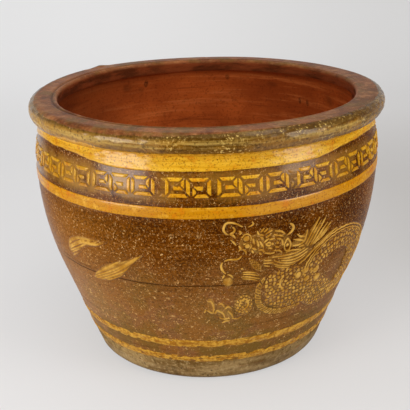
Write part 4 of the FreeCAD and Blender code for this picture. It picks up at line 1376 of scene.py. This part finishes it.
def pale_paper():
    """Paper that the camera sees partly lit by itself, so that the jar's shadow on it stays soft."""
    paper = Finish("pale_paper")
    paper.shader.inputs["Base Color"].default_value = paint(224, 226, 232)
    paper.shader.inputs["Roughness"].default_value = 0.9
    side, depth = paper.axis("X"), paper.axis("Y")
    # Painted shade darkens the paper towards the right, and painted light brightens it further back.
    shade = paper.ramp(side, -0.5, 0.9)
    near = paper.coats((236, 235, 235), (shade, 212, 209, 207))
    distant = paper.coats((255, 255, 255), (shade, 234, 233, 232))
    glow = paper.mix(paper.ramp(depth, 0.8, 2.2) * 0.95, near, distant)
    # A painted shadow of the jar on the paper to its right.
    painted_jar_shadow = paper.ramp(side, 0.1, 0.45) * paper.ramp(depth, -0.1, 0.35) * paper.ramp(depth, 1.4, 0.6)
    glow = paper.mix(painted_jar_shadow * 0.8, glow, paint(186, 182, 178))
    glow = paper.node("ShaderNodeEmission", None, {"Color": glow})
    seen = sum(paper.node("ShaderNodeLightPath", output=ray) for ray in SEEING_RAYS)
    lit = Shade(paper, paper.shader.outputs[0])
    blend = paper.node("ShaderNodeMixShader", None, [PAPER_GLOW * seen, lit, glow])
    paper.tree.links.new(blend.socket, paper.tree.nodes["Material Output"].inputs["Surface"])
    return paper


floor = backdrop()
floor.data.materials.append(pale_paper().material)
bpy.context.scene.collection.objects.link(floor)
print("backdrop", len(floor.data.polygons), "faces")

# %% Lights
# A lamp has a name, a place, a point it faces, a size and a power.
LAMPS = (("left_softbox", (-1.3, -1.02, 0.47), (0, 0, 0.3), (0.85, 0.8), 17),
         ("right_softbox", (1.5, -1.0, 0.8), (0, 0, 0.25), (0.8, 1.2), 16),
         ("top_softbox", (0.1, -0.5, 1.85), (0, 0, 0.2), (1.5, 1.5), 20))
LAMP_COLOUR = (1.0, 0.95, 0.87)
WORLD_COLOUR = (1.0, 0.98, 0.94, 1.0)
WORLD_STRENGTH = 0.22


def soft_lamp(name, place, aim, size, power):
    """A rectangular soft lamp that faces a point."""
    lamp = bpy.data.lights.new(name, "AREA")
    lamp.shape = "RECTANGLE"
    lamp.size, lamp.size_y = size
    lamp.energy = power
    lamp.color = LAMP_COLOUR
    holder = bpy.data.objects.new(name, lamp)
    bpy.context.scene.collection.objects.link(holder)
    facing = (Vector(aim) - Vector(place)).to_track_quat("-Z", "Y")
    holder.matrix_world = Matrix.Translation(place) @ facing.to_matrix().to_4x4()


for lamp in LAMPS:
    soft_lamp(*lamp)
world = bpy.data.worlds.new("even_light")
world.use_nodes = True
sky = world.node_tree.nodes["Background"]
sky.inputs["Color"].default_value = WORLD_COLOUR
sky.inputs["Strength"].default_value = WORLD_STRENGTH
bpy.context.scene.world = world
bpy.context.scene.view_settings.view_transform = "Standard"
print("lamps:", len(LAMPS))

# %% Camera
CAMERA_PLACE = (-0.00335, -1.2594, 0.6534)
CAMERA_PITCH = math.radians(19.9)
CAMERA_ROLL = math.radians(1.6)
CAMERA_LENS = 79.0
camera = bpy.data.objects.new("camera", bpy.data.cameras.new("camera"))
camera.data.lens = CAMERA_LENS
camera.data.sensor_width = 36.0
aim = Matrix.Rotation(math.pi / 2 - CAMERA_PITCH, 4, "X") @ Matrix.Rotation(-CAMERA_ROLL, 4, "Z")
camera.matrix_world = Matrix.Translation(CAMERA_PLACE) @ aim
bpy.context.scene.collection.objects.link(camera)
bpy.context.scene.camera = camera
print("camera lens", CAMERA_LENS, "mm, looking down", round(math.degrees(CAMERA_PITCH), 1), "degrees")
